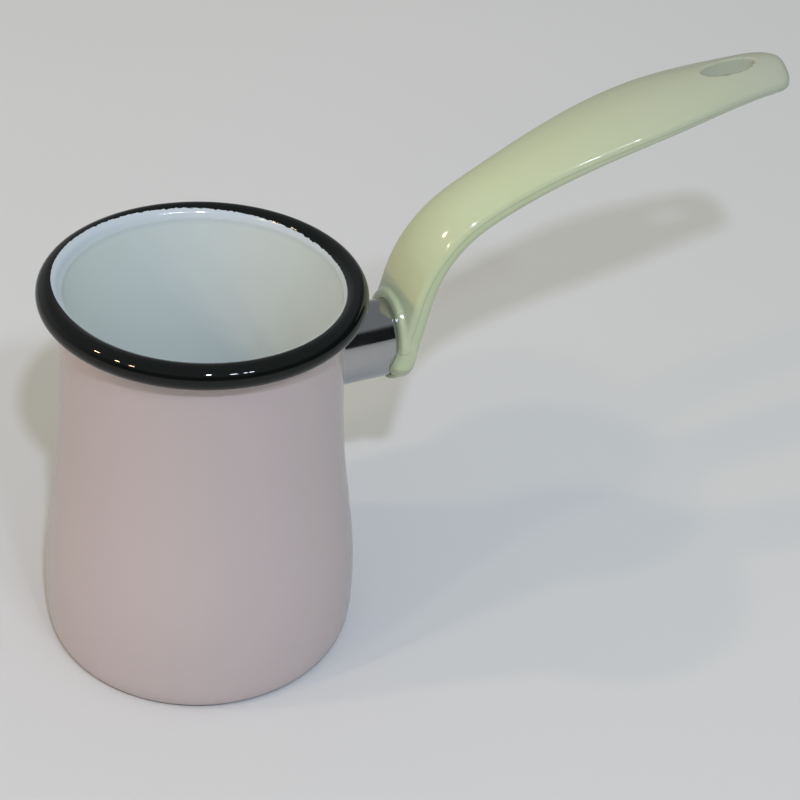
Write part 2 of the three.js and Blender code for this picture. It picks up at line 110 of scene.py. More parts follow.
class NodeSheet:
    """A node tree with short calls that add nodes, set their inputs and link them."""

    def __init__(self, tree: bpy.types.NodeTree) -> None:
        """Keeps the tree to work on."""
        self.tree = tree

    def node(self, kind: str, inputs: Inputs | None = None, **settings: Any) -> bpy.types.Node:
        """Adds a node.

        Args:
            kind: Blender's name of the node type.
            inputs: Values or sockets for the node's inputs, by name or number.
            settings: Properties of the node.

        Returns:
            The new node.
        """
        made = self.tree.nodes.new(kind)
        for name, value in settings.items():
            setattr(made, name, value)
        for key, value in (inputs or {}).items():
            if isinstance(value, Socket):
                self.tree.links.new(value, made.inputs[key])
            else:
                made.inputs[key].default_value = value
        return made

    def shared(self, tree: bpy.types.NodeTree, inputs: Inputs) -> bpy.types.NodeOutputs:
        """Places a shared group with its own values, and returns its outputs."""
        return self.node("ShaderNodeGroup", inputs, node_tree=tree).outputs

    def blend(self, share: Socket, first: Any, second: Any) -> Socket:
        """Mixes two colours by the share of the second, and returns the mixed colour."""
        inputs = {"Factor": share, MIX_FIRST: first, MIX_SECOND: second}
        return self.node("ShaderNodeMix", inputs, data_type="RGBA").outputs[MIX_RESULT]

    def reckon(self, operation: str, *values: Any) -> Socket:
        """Does one step of arithmetic on values or sockets, and returns its result."""
        return self.node("ShaderNodeMath", dict(enumerate(values)), operation=operation).outputs[0]

    def between(
        self, value: Socket, limits: tuple[Any, Any], results: tuple[Any, Any] = (0.0, 1.0)
    ) -> Socket:
        """Turns the way of a value from one limit to another into a value between two results.

        Args:
            value: The value to read.
            limits: Where the way starts and where it ends.
            results: What comes out at its two ends.

        Returns:
            The result.
        """
        inputs = {"Value": value, "From Min": limits[0], "From Max": limits[1]}
        inputs |= {"To Min": results[0], "To Max": results[1]}
        return self.node("ShaderNodeMapRange", inputs).outputs["Result"]

    def bump(self, strength: float, distance: float, height: Socket, **base: Socket) -> Socket:
        """Turns a height into a normal, on top of another one where it is given as Normal."""
        inputs = {"Strength": strength, "Distance": distance, "Height": height, **base}
        return self.node("ShaderNodeBump", inputs).outputs["Normal"]

    def surface(self, inputs: Inputs) -> None:
        """Ends a material with a surface of the given values."""
        face = self.node("ShaderNodeBsdfPrincipled", inputs)
        self.node("ShaderNodeOutputMaterial", {"Surface": face.outputs[0]})

    def identifier(self, name: str) -> str:
        """The identifier of a group's input by its name."""
        items = self.tree.interface.items_tree
        return next(item.identifier for item in items if item.name == name and item.in_out == "INPUT")


def group_sheet(
    name: str, kind: str, takes: dict[str, tuple[str, Any]], gives: dict[str, str]
) -> tuple[NodeSheet, bpy.types.NodeOutputs]:
    """Starts a node group with named sockets.

    Args:
        name: The group's name.
        kind: Blender's name of the tree type.
        takes: Each input's socket type, as its name after NodeSocket, and its default.
        gives: Each output's socket type.

    Returns:
        The group's sheet, and the sockets that its inputs come from.
    """
    sheet = NodeSheet(bpy.data.node_groups.new(name, kind))
    for label, (sort, value) in takes.items():
        made = sheet.tree.interface.new_socket(label, in_out="INPUT", socket_type=f"NodeSocket{sort}")
        if value is not None:
            made.default_value = value
    for label, sort in gives.items():
        sheet.tree.interface.new_socket(label, in_out="OUTPUT", socket_type=f"NodeSocket{sort}")
    return sheet, sheet.node("NodeGroupInput").outputs


def rgba(colour: Colour) -> tuple[float, float, float, float]:
    """A colour with full alpha."""
    return (*colour, 1.0)


class SurfaceGroups:
    """Shader node groups that several finishes share."""

    def __init__(self) -> None:
        """Builds each group once."""
        self.drift = self._drift()
        self.specks = self._specks()
        self.ripple = self._ripple()
        self.scuffs = self._scuffs()

    def _drift(self) -> bpy.types.NodeTree:
        """Slow change from one colour to another over the surface.

        Returns:
            The group's tree.
        """
        sheet, given = group_sheet(
            "colour_drift",
            "ShaderNodeTree",
            {
                "Vector": ("Vector", None),
                "Colour": ("Color", rgba((0.5, 0.5, 0.5))),
                "Other Colour": ("Color", rgba((0.4, 0.4, 0.4))),
                "Scale": ("Float", 30.0),
                "Amount": ("Float", 0.5),
            },
            {"Colour": "Color"},
        )
        cloud = sheet.node(
            "ShaderNodeTexNoise",
            {"Vector": given["Vector"], "Scale": given["Scale"], "Detail": 3.0, "Roughness": 0.55},
        )
        share = sheet.between(cloud.outputs[0], limits=(0.3, 0.7))
        amount = sheet.reckon("MULTIPLY", share, given["Amount"])
        mixed = sheet.blend(amount, given["Colour"], given["Other Colour"])
        sheet.node("NodeGroupOutput", {"Colour": mixed})
        return sheet.tree

    def _specks(self) -> bpy.types.NodeTree:
        """Mask of small round specks that only some cells hold.

        Returns:
            The group's tree.
        """
        sheet, given = group_sheet(
            "specks",
            "ShaderNodeTree",
            {
                "Vector": ("Vector", None),
                "Scale": ("Float", 100.0),
                "Radius": ("Float", 0.05),
                "Share": ("Float", 0.05),
            },
            {"Mask": "Float"},
        )
        cells = sheet.node("ShaderNodeTexVoronoi", {"Vector": given["Vector"], "Scale": given["Scale"]})
        solid_share = 0.55
        inner = sheet.reckon("MULTIPLY", given["Radius"], solid_share)
        dot = sheet.between(cells.outputs["Distance"], (given["Radius"], inner))
        chance = sheet.node("ShaderNodeSeparateColor", {"Color": cells.outputs["Color"]})
        held = sheet.reckon("LESS_THAN", chance.outputs["Red"], given["Share"])
        sheet.node("NodeGroupOutput", {"Mask": sheet.reckon("MULTIPLY", dot, held)})
        return sheet.tree

    def _ripple(self) -> bpy.types.NodeTree:
        """Height of a flowed surface: long waves with a finer ripple on them.

        Returns:
            The group's tree.
        """
        sheet, given = group_sheet(
            "flow_ripple",
            "ShaderNodeTree",
            {
                "Vector": ("Vector", None),
                "Wave Scale": ("Float", 120.0),
                "Ripple Scale": ("Float", 600.0),
                "Ripple Share": ("Float", 0.2),
            },
            {"Height": "Float"},
        )
        wave = sheet.node(
            "ShaderNodeTexNoise",
            {"Vector": given["Vector"], "Scale": given["Wave Scale"], "Detail": 1.0},
        )
        fine = sheet.node(
            "ShaderNodeTexNoise",
            {"Vector": given["Vector"], "Scale": given["Ripple Scale"], "Detail": 2.0},
        )
        part = sheet.reckon("MULTIPLY", fine.outputs[0], given["Ripple Share"])
        sheet.node("NodeGroupOutput", {"Height": sheet.reckon("ADD", wave.outputs[0], part)})
        return sheet.tree

    def _scuffs(self) -> bpy.types.NodeTree:
        """Roughness of a handled surface, with fine rub marks along one way.

        Returns:
            The group's tree.
        """
        sheet, given = group_sheet(
            "rub_marks",
            "ShaderNodeTree",
            {
                "Vector": ("Vector", None),
                "Stretch": ("Vector", (1.0, 1.0, 1.0)),
                "Scale": ("Float", 200.0),
                "Smooth": ("Float", 0.1),
                "Rubbed": ("Float", 0.3),
            },
            {"Roughness": "Float", "Height": "Float"},
        )
        drawn = sheet.node(
            "ShaderNodeVectorMath", {0: given["Vector"], 1: given["Stretch"]}, operation="MULTIPLY"
        )
        marks = sheet.node(
            "ShaderNodeTexNoise",
            {"Vector": drawn.outputs[0], "Scale": given["Scale"], "Detail": 4.0, "Roughness": 0.6},
        )
        results = (given["Smooth"], given["Rubbed"])
        rough = sheet.between(marks.outputs[0], limits=(0.4, 0.75), results=results)
        sheet.node("NodeGroupOutput", {"Roughness": rough, "Height": marks.outputs[0]})
        return sheet.tree

    def tone(
        self, sheet: NodeSheet, place: Socket, colours: tuple[Colour, Colour], scale: float, amount: float
    ) -> Socket:
        """Places the colour drift in a material.

        Args:
            sheet: The material's sheet.
            place: The Object coordinates.
            colours: The colour and the one that it drifts to.
            scale: How close the patches are.
            amount: How far it drifts.

        Returns:
            The drifting colour.
        """
        inputs = {"Vector": place, "Colour": rgba(colours[0]), "Other Colour": rgba(colours[1])}
        return sheet.shared(self.drift, inputs | {"Scale": scale, "Amount": amount})["Colour"]


def material_sheet(name: str) -> tuple[Material, NodeSheet, Socket]:
    """Starts a node material.

    Args:
        name: The material's name.

    Returns:
        The material, its emptied node sheet, and the socket of its Object coordinates.
    """
    material = bpy.data.materials.new(name)
    material.use_nodes = True
    material.node_tree.nodes.clear()
    sheet = NodeSheet(material.node_tree)
    return material, sheet, sheet.node("ShaderNodeTexCoord").outputs["Object"]


@dataclass(frozen=True)
class Enamel:
    """A fired glassy coat: a drifting colour with a few specks, slightly rippled and rubbed."""

    name: str
    colours: tuple[Colour, Colour]
    drift: float = 0.5
    drift_scale: float = 22.0
    speck_colour: Colour = (0.03, 0.025, 0.022)
    speck_scale: float = 95.0
    speck_radius: float = 0.028
    speck_share: float = 0.05
    smooth: float = 0.1
    rubbed: float = 0.16
    wave_depth: float = 0.00012
    wave_scale: float = 90.0
    gloss: float = 0.5
    edge_colour: Colour | None = None
    edge_heights: Pair = (0.1005, 0.104)

    def material(self, groups: SurfaceGroups) -> Material:
        """Builds the coat's material.

        Args:
            groups: The shared node groups.

        Returns:
            The material.
        """
        material, sheet, place = material_sheet(self.name)
        colour = groups.tone(sheet, place, self.colours, scale=self.drift_scale, amount=self.drift)
        if self.edge_colour is not None:
            height = sheet.node("ShaderNodeSeparateXYZ", {"Vector": place}).outputs["Z"]
            colour = sheet.blend(sheet.between(height, self.edge_heights), colour, rgba(self.edge_colour))
        dots = sheet.shared(
            groups.specks,
            {
                "Vector": place,
                "Scale": self.speck_scale,
                "Radius": self.speck_radius,
                "Share": self.speck_share,
            },
        )
        rub = sheet.shared(
            groups.scuffs,
            {"Vector": place, "Scale": 160.0, "Smooth": self.smooth, "Rubbed": self.rubbed},
        )
        flow = sheet.shared(
            groups.ripple,
            {"Vector": place, "Wave Scale": self.wave_scale, "Ripple Scale": 700.0, "Ripple Share": 0.12},
        )
        sheet.surface(
            {
                "Base Color": sheet.blend(dots["Mask"], colour, rgba(self.speck_colour)),
                "Roughness": rub["Roughness"],
                "Normal": sheet.bump(strength=0.6, distance=self.wave_depth, height=flow["Height"]),
                "IOR": 1.52,
                "Specular IOR Level": self.gloss,
            }
        )
        return material


@dataclass(frozen=True)
class Metal:
    """Bare or plated metal with fine marks along one way."""

    name: str
    colours: tuple[Colour, Colour]
    smooth: float
    rubbed: float
    stretch: Triple
    mark_scale: float
    mark_depth: float

    def material(self, groups: SurfaceGroups) -> Material:
        """Builds the metal's material.

        Args:
            groups: The shared node groups.

        Returns:
            The material.
        """
        material, sheet, place = material_sheet(self.name)
        rub = sheet.shared(
            groups.scuffs,
            {
                "Vector": place,
                "Stretch": self.stretch,
                "Scale": self.mark_scale,
                "Smooth": self.smooth,
                "Rubbed": self.rubbed,
            },
        )
        sheet.surface(
            {
                "Base Color": groups.tone(sheet, place, self.colours, scale=140.0, amount=0.6),
                "Metallic": 1.0,
                "Roughness": rub["Roughness"],
                "Normal": sheet.bump(strength=0.5, distance=self.mark_depth, height=rub["Height"]),
            }
        )
        return material


@dataclass(frozen=True)
class Moulding:
    """Glossy moulded plastic with a faint parting line, a few specks and yellowed patches. The line's dark
    colour is partly painted shade below the rounded edge, and the grip is painted darker and greyer towards
    the tip as shade.
    """

    name: str = "pale_green_cream_moulding"
    colours: tuple[Colour, Colour] = ((0.516, 0.58, 0.382), (0.498, 0.555, 0.323))
    # Painted shade: the grip's colour towards the tip, darker and greyer
    tip_shade_colour: Colour = (0.42, 0.451, 0.354)
    tip_shade_reach: Pair = (0.075, 0.155)
    speck_colour: Colour = (0.22, 0.22, 0.12)
    # Dark colour of the parting line, partly painted shade below the rounded edge
    parting_line_shade_colour: Colour = (0.24, 0.27, 0.16)
    line_width: float = 0.3
    line_share: float = 0.45
    line_depth: float = 0.00008
    swell_depth: float = 0.0001
    smooth: float = 0.065
    rubbed: float = 0.11
    attribute: str = "parting"

    def material(self, groups: SurfaceGroups) -> Material:
        """Builds the plastic's material.

        Args:
            groups: The shared node groups.

        Returns:
            The material.
        """
        material, sheet, place = material_sheet(self.name)
        along = sheet.node("ShaderNodeSeparateXYZ", {"Vector": place}).outputs["X"]
        tone = groups.tone(sheet, place, self.colours, scale=26.0, amount=0.75)
        # Painted shade: the grip turns darker and greyer towards the tip
        tip_shaded = sheet.blend(sheet.between(along, self.tip_shade_reach), tone, rgba(self.tip_shade_colour))
        dots = sheet.shared(
            groups.specks, {"Vector": place, "Scale": 130.0, "Radius": 0.022, "Share": 0.06}
        )
        dotted = sheet.blend(dots["Mask"], tip_shaded, rgba(self.speck_colour))
        offset = sheet.node("ShaderNodeAttribute", attribute_name=self.attribute).outputs["Fac"]
        away = sheet.reckon("ABSOLUTE", offset)
        # The parting line darkens the colour: a real parting line, and along the grip also painted shade
        # below the rounded edge
        line = sheet.between(away, (self.line_width, 0.0), (0.0, self.line_share))
        rub = sheet.shared(
            groups.scuffs,
            {
                "Vector": place,
                "Stretch": (0.4, 1.0, 0.6),
                "Scale": 300.0,
                "Smooth": self.smooth,
                "Rubbed": self.rubbed,
            },
        )
        flow = sheet.shared(
            groups.ripple,
            {"Vector": place, "Wave Scale": 70.0, "Ripple Scale": 900.0, "Ripple Share": 0.02},
        )
        swell = sheet.bump(strength=0.35, distance=self.swell_depth, height=flow["Height"])
        ridge = sheet.bump(strength=0.6, distance=self.line_depth, height=line, Normal=swell)
        sheet.surface(
            {
                "Base Color": sheet.blend(line, dotted, rgba(self.parting_line_shade_colour)),
                "Roughness": rub["Roughness"],
                "Normal": ridge,
                "IOR": 1.54,
            }
        )
        return material


@dataclass(frozen=True)
class FloorCloth:
    """Plain pale matt floor, faintly uneven, painted a little paler behind the pot as painted light, and
    shown darker to gloss as painted shade in reflections.
    """

    name: str = "pale_floor"
    colours: tuple[Colour, Colour] = ((0.635, 0.638, 0.63), (0.617, 0.63, 0.63))
    # Painted light: the floor's colour behind the pot, paler than in front
    painted_light_far_colour: Colour = (0.67, 0.675, 0.67)
    painted_light_far_reach: Pair = (0.05, 0.32)
    # Painted shade in reflections: the darker colour that gloss sees on the floor
    painted_shade_gloss_colour: Colour = (0.50, 0.505, 0.50)

    def material(self, groups: SurfaceGroups) -> Material:
        """Builds the floor's material.

        Args:
            groups: The shared node groups.

        Returns:
            The material.
        """
        material, sheet, place = material_sheet(self.name)
        back = sheet.node("ShaderNodeSeparateXYZ", {"Vector": place}).outputs["Y"]
        tone = groups.tone(sheet, place, self.colours, scale=4.0, amount=0.8)
        # Painted light: the floor's colour turns paler towards the back, behind the pot
        painted_light_tone = sheet.blend(sheet.between(back, self.painted_light_far_reach), tone, rgba(self.painted_light_far_colour))
        # Painted shade in reflections: gloss sees the floor in a darker colour than it has
        glossy = sheet.node("ShaderNodeLightPath").outputs["Is Glossy Ray"]
        shown = sheet.blend(glossy, painted_light_tone, rgba(self.painted_shade_gloss_colour))
        sheet.surface({"Base Color": shown, "Roughness": 0.75})
        return material


def linked(name: str, data: bpy.types.ID) -> Object:
    """Makes an object of some data and links it to the scene.

    Args:
        name: Name of the object.
        data: Its mesh, lamp or camera.

    Returns:
        The object.
    """
    made = bpy.data.objects.new(name, data)
    bpy.context.scene.collection.objects.link(made)
    return made


def mesh_object(
    name: str,
    points: np.ndarray,
    faces: Sequence[Sequence[int]] = (),
    edges: Sequence[tuple[int, int]] = (),
) -> Object:
    """Makes an object from points in millimetres.

    Args:
        name: Name of the object and its mesh.
        points: Rows of x, y and z.
        faces: Corner numbers of each face.
        edges: Ends of each loose edge.

    Returns:
        The object, linked to the scene.
    """
    mesh = bpy.data.meshes.new(name)
    mesh.from_pydata((np.asarray(points, float) * MM).tolist(), edges, faces)
    mesh.update()
    return linked(name, mesh)


def applied(obj: Object, name: str) -> Object:
    """Turns an object with its modifiers into a plain mesh object.

    Args:
        obj: The object with modifiers, which is removed.
        name: Name of the plain object.

    Returns:
        The plain object at the origin.
    """
    bpy.context.view_layer.update()
    graph = bpy.context.evaluated_depsgraph_get()
    mesh = bpy.data.meshes.new_from_object(obj.evaluated_get(graph))
    bpy.data.objects.remove(obj)
    mesh.name = name
    return linked(name, mesh)


def faced_outwards(obj: Object) -> None:
    """Merges doubled points of a closed mesh, turns its faces outwards and shades them smooth.

    Args:
        obj: The closed object, whose mesh is changed.
    """
    work = bmesh.new()
    work.from_mesh(obj.data)
    bmesh.ops.remove_doubles(work, verts=work.verts, dist=MERGE)
    bmesh.ops.recalc_face_normals(work, faces=work.faces)
    for face in work.faces:
        face.smooth = True
    work.to_mesh(obj.data)
    work.free()


def cut(obj: Object, tool: Object, joins: bool = False) -> Object:
    """Cuts one solid with another, or joins the two.

    Args:
        obj: The solid to change, which is removed.
        tool: The other solid, which is removed.
        joins: True to join them.

    Returns:
        The changed solid.
    """
    step = obj.modifiers.new("solid", "BOOLEAN")
    step.operation = "UNION" if joins else "DIFFERENCE"
    step.solver = "EXACT"
    step.object = tool
    made = applied(obj, obj.name)
    bpy.data.objects.remove(tool)
    return made


def mended(obj: Object) -> None:
    """Splits a cut piece into smooth triangles, without points on top of each other or flat folds.

    Args:
        obj: The cut piece, whose mesh is changed.
    """
    work = bmesh.new()
    work.from_mesh(obj.data)
    bmesh.ops.remove_doubles(work, verts=work.verts, dist=WELD)
    bmesh.ops.dissolve_degenerate(work, edges=work.edges, dist=WELD)
    bmesh.ops.triangulate(work, faces=work.faces)
    work.verts.index_update()
    single: dict[frozenset[int], bmesh.types.BMFace] = {}
    folds: list[bmesh.types.BMFace] = []
    for face in work.faces:
        face.smooth = True
        corners = frozenset(vert.index for vert in face.verts)
        if corners in single:
            folds += [face, single.pop(corners)]
        else:
            single[corners] = face
    bmesh.ops.delete(work, geom=folds, context="FACES")
    work.to_mesh(obj.data)
    work.free()


def sharp_edges(obj: Object, angle: float) -> None:
    """Keeps edges sharper than an angle in degrees crisp in the shading."""
    obj.data.set_sharp_from_angle(angle=math.radians(angle))


def sent_through(
    sheet: NodeSheet, name: str, outline: Outline, closed: bool, values: dict[str, Any]
) -> Object:
    """Puts an outline through a Geometry Nodes tree.

    Args:
        sheet: The tree, whose geometry input takes the outline.
        name: Name of the piece.
        outline: Points as the distance outwards from the path, and the place along the axis.
        closed: True where the outline's end meets its start.
        values: The tree's other inputs by name.

    Returns:
        The piece as a plain mesh object.
    """
    points = np.array([(out, -along, 0.0) for out, along in outline])
    links = [(i, i + 1) for i in range(len(points) - 1)]
    if closed:
        links.append((len(points) - 1, 0))
    carrier = mesh_object(f"{name}_outline", points, edges=links)
    step = carrier.modifiers.new("sweep", "NODES")
    step.node_group = sheet.tree
    for key, value in values.items():
        step[sheet.identifier(key)] = value
    made = applied(carrier, name)
    faced_outwards(made)
    return made


def finished_geometry(sheet: NodeSheet, geometry: Socket, material: Socket) -> None:
    """Ends a Geometry Nodes tree with real geometry and its material.

    Args:
        sheet: The tree's sheet.
        geometry: The geometry so far.
        material: The input that gives the finish.
    """
    real = sheet.node("GeometryNodeRealizeInstances", {"Geometry": geometry})
    finish = sheet.node("GeometryNodeSetMaterial", {"Geometry": real.outputs[0], "Material": material})
    sheet.node("NodeGroupOutput", {"Piece": finish.outputs[0]})


class OvalSweep:
    """Geometry Nodes that carry an outline round an oval path, and turn the result into place."""

    def __init__(self) -> None:
        """Builds the tree once."""
        self.sheet = self._build()

    def _build(self) -> NodeSheet:
        """The tree: path, sweep, closed poles, turn, smooth faces, real geometry and its material.

        Returns:
            The tree's sheet.
        """
        sheet, given = group_sheet(
            "outline_round_oval",
            "GeometryNodeTree",
            {
                "Outline": ("Geometry", None),
                "Path Length": ("Float", 0.1),
                "Path Width": ("Float", 0.1),
                "Facets": ("Int", 64),
                "Turn": ("Float", 0.0),
                "Level": ("Float", 0.0),
                "Finish": ("Material", None),
            },
            {"Piece": "Geometry"},
        )
        outline = sheet.node("GeometryNodeMeshToCurve", {"Mesh": given["Outline"]})
        circle = sheet.node(
            "GeometryNodeCurvePrimitiveCircle",
            {"Resolution": given["Facets"], "Radius": 0.5},
            mode="RADIUS",
        )
        stretch = sheet.node(
            "ShaderNodeCombineXYZ", {"X": given["Path Length"], "Y": given["Path Width"], "Z": 1.0}
        )
        path = sheet.node(
            "GeometryNodeTransform", {"Geometry": circle.outputs["Curve"], "Scale": stretch.outputs[0]}
        )
        swept = sheet.node(
            "GeometryNodeCurveToMesh",
            {"Curve": path.outputs[0], "Profile Curve": outline.outputs["Curve"]},
        )
        closed = sheet.node(
            "GeometryNodeMergeByDistance", {"Geometry": swept.outputs[0], "Distance": MERGE}
        )
        turn = sheet.node("ShaderNodeCombineXYZ", {"Y": given["Turn"]})
        lift = sheet.node("ShaderNodeCombineXYZ", {"Z": given["Level"]})
        placed = sheet.node(
            "GeometryNodeTransform",
            {"Geometry": closed.outputs[0], "Rotation": turn.outputs[0], "Translation": lift.outputs[0]},
        )
        smooth = sheet.node("GeometryNodeSetShadeSmooth", {"Geometry": placed.outputs[0]})
        finished_geometry(sheet, smooth.outputs[0], given["Finish"])
        return sheet

    def run(
        self,
        name: str,
        outline: Outline,
        size: Pair,
        facets: int,
        material: Material,
        axis: Axis = Axis.UP,
        level: float = 0.0,
        closed: bool = True,
    ) -> Object:
        """Sweeps an outline.

        Args:
            name: Name of the piece.
            outline: Points as the distance outwards from the path, and the place along the axis.
            size: The path's length across the axis, which is upright along the handle, and its width in Y.
            facets: Steps round the path.
            material: The piece's finish.
            axis: The line that the path goes round.
            level: How far the axis is lifted.
            closed: True where the outline's end meets its start, False where both ends are on the axis.

        Returns:
            The piece as a plain mesh object.
        """
        values = {
            "Path Length": size[0] * MM,
            "Path Width": size[1] * MM,
            "Facets": facets,
            "Turn": axis.value,
            "Level": level * MM,
            "Finish": material,
        }
        return sent_through(self.sheet, name, outline, closed, values)


class CoilSweep:
    """Geometry Nodes that carry an outline along a helix round the handle screw's axis."""

    def __init__(self) -> None:
        """Builds the tree once."""
        self.sheet = self._build()

    def _build(self) -> NodeSheet:
        """The tree: helix, upright sweep with closed ends, turn to the axis, and its finished geometry.

        Returns:
            The tree's sheet.
        """
        sheet, given = group_sheet(
            "outline_along_coil",
            "GeometryNodeTree",
            {
                "Outline": ("Geometry", None),
                "Radius": ("Float", 0.003),
                "Rise": ("Float", 0.001),
                "Turns": ("Float", 1.0),
                "Steps": ("Int", 48),
                "Start": ("Vector", None),
                "Finish": ("Material", None),
            },
            {"Piece": "Geometry"},
        )
        outline = sheet.node("GeometryNodeMeshToCurve", {"Mesh": given["Outline"]})
        coil = sheet.node(
            "GeometryNodeCurveSpiral",
            {
                "Resolution": given["Steps"],
                "Rotations": given["Turns"],
                "Start Radius": given["Radius"],
                "End Radius": given["Radius"],
                "Height": given["Rise"],
            },
        )
        upright = sheet.node("GeometryNodeSetCurveNormal", {"Curve": coil.outputs["Curve"]}, mode="Z_UP")
        swept = sheet.node(
            "GeometryNodeCurveToMesh",
            {"Curve": upright.outputs[0], "Profile Curve": outline.outputs["Curve"], "Fill Caps": True},
        )
        placed = sheet.node(
            "GeometryNodeTransform",
            {
                "Geometry": swept.outputs[0],
                "Rotation": (0.0, Axis.ALONG_HANDLE.value, 0.0),
                "Translation": given["Start"],
            },
        )
        finished_geometry(sheet, placed.outputs[0], given["Finish"])
        return sheet

    def run(
        self,
        name: str,
        outline: Outline,
        radius: float,
        rise: float,
        turns: float,
        start: Triple,
        material: Material,
    ) -> Object:
        """Sweeps an outline along a coil.

        Args:
            name: Name of the piece.
            outline: Points of the closed section, outwards and along the axis from the coil's line.
            radius: Radius of the coil's line.
            rise: How far the coil moves along the axis.
            turns: Number of turns.
            start: Where the coil's axis starts.
            material: The piece's finish.

        Returns:
            The piece as a plain mesh object.
        """
        values = {
            "Radius": radius * MM,
            "Rise": rise * MM,
            "Turns": turns,
            "Start": tuple(value * MM for value in start),
            "Finish": material,
        }
        return sent_through(self.sheet, name, outline, True, values)


def oval_bar(name: str, size: Pair, ends: Pair, level: float, bevel: float = 0.0) -> Object:
    """An oval bar along X, with rounded ends where a bevel is given.

    Args:
        name: Name of the object.
        size: Width along Y and height along Z.
        ends: Where it starts and stops along X.
        level: Height of its axis.
        bevel: Radius of its rounded ends.

    Returns:
        The closed solid.
    """
    around = 128
    bevel_steps = 7
    angles = np.linspace(0.0, FULL_TURN, around, endpoint=False)
    near = [(ends[0], 0.0)]
    far = [(ends[1], 0.0)]
    if bevel:
        turns = np.linspace(0.0, QUARTER_TURN, bevel_steps)
        near = [(ends[0] + bevel * (1 - math.cos(a)), bevel * (1 - math.sin(a))) for a in turns]
        far = [(ends[0] + ends[1] - x, inset) for x, inset in reversed(near)]
    rings = []
    for x, inset in near + far:
        y = (size[0] / 2 - inset) * np.cos(angles)
        z = (size[1] / 2 - inset) * np.sin(angles) + level
        rings.append(np.column_stack([np.full(around, x), y, z]))
    return skinned(name, rings)


def skinned(name: str, rings: Sequence[np.ndarray], joined: bool = False) -> Object:
    """A closed solid skinned over rings of equal counts.

    Args:
        name: Name of the object.
        rings: Points of each ring in order.
        joined: True where the last ring joins the first, False for flat ends.

    Returns:
        The closed solid with its faces outwards.
    """
    count = len(rings[0])
    total = len(rings)
    faces: list[list[int]] = []
    for ring in range(total if joined else total - 1):
        a = ring * count
        b = (ring + 1) % total * count
        for i in range(count):
            j = (i + 1) % count
            faces.append([a + i, a + j, b + j, b + i])
    if not joined:
        last = (total - 1) * count
        faces.append(list(range(count)))
        faces.append(list(range(last, last + count)))
    made = mesh_object(name, np.concatenate(rings), faces)
    faced_outwards(made)
    return made


def bezier(corners: Sequence[Pair], steps: int) -> tuple[np.ndarray, np.ndarray]:
    """Points of a cubic curve with their normals on the right-hand side.

    Args:
        corners: The four control points.
        steps: Number of steps.

    Returns:
        Rows of points and rows of unit normals.
    """
    p = np.array(corners, float)
    t = np.linspace(0.0, 1.0, steps + 1)[:, None]
    s = 1 - t
    points = s**3 * p[0] + 3 * s**2 * t * p[1] + 3 * s * t**2 * p[2] + t**3 * p[3]
    slope = 3 * (s**2 * (p[1] - p[0]) + 2 * s * t * (p[2] - p[1]) + t**2 * (p[3] - p[2]))
    slope /= np.linalg.norm(slope, axis=1, keepdims=True)
    return points, np.column_stack([slope[:, 1], -slope[:, 0]])


def smooth_step(low: float, high: float, value: np.ndarray) -> np.ndarray:
    """Rises smoothly from 0 at one value to 1 at another."""
    t = np.clip((value - low) / (high - low), 0.0, 1.0)
    return t * t * (3 - 2 * t)


@dataclass(frozen=True)
class RingNoise:
    """Noise round the pot, read along a ring of some radius at some level of the noise field."""

    radius: float
    level: float
    amount: float

    def at(self, angle: float) -> float:
        """Its value at an angle in radians, which is the same after a full turn."""
        place = (self.radius * math.cos(angle), self.radius * math.sin(angle), self.level)
        return self.amount * noise.noise(Vector(place))


def dressed(piece: Object, material: Material, node: str) -> Object:
    """Gives a piece its finish and lets it stand for a CAD node.

    Args:
        piece: The finished object.
        material: Its material.
        node: The CAD node that it replaces.

    Returns:
        The piece.
    """
    piece.data.materials.clear()
    piece.data.materials.append(material)
    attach(piece, BODY)
    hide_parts(node)
    triangles = sum(len(face.vertices) - 2 for face in piece.data.polygons)
    LOG.info("%s stands for %s with %d triangles", piece.name, node, triangles)
    return piece


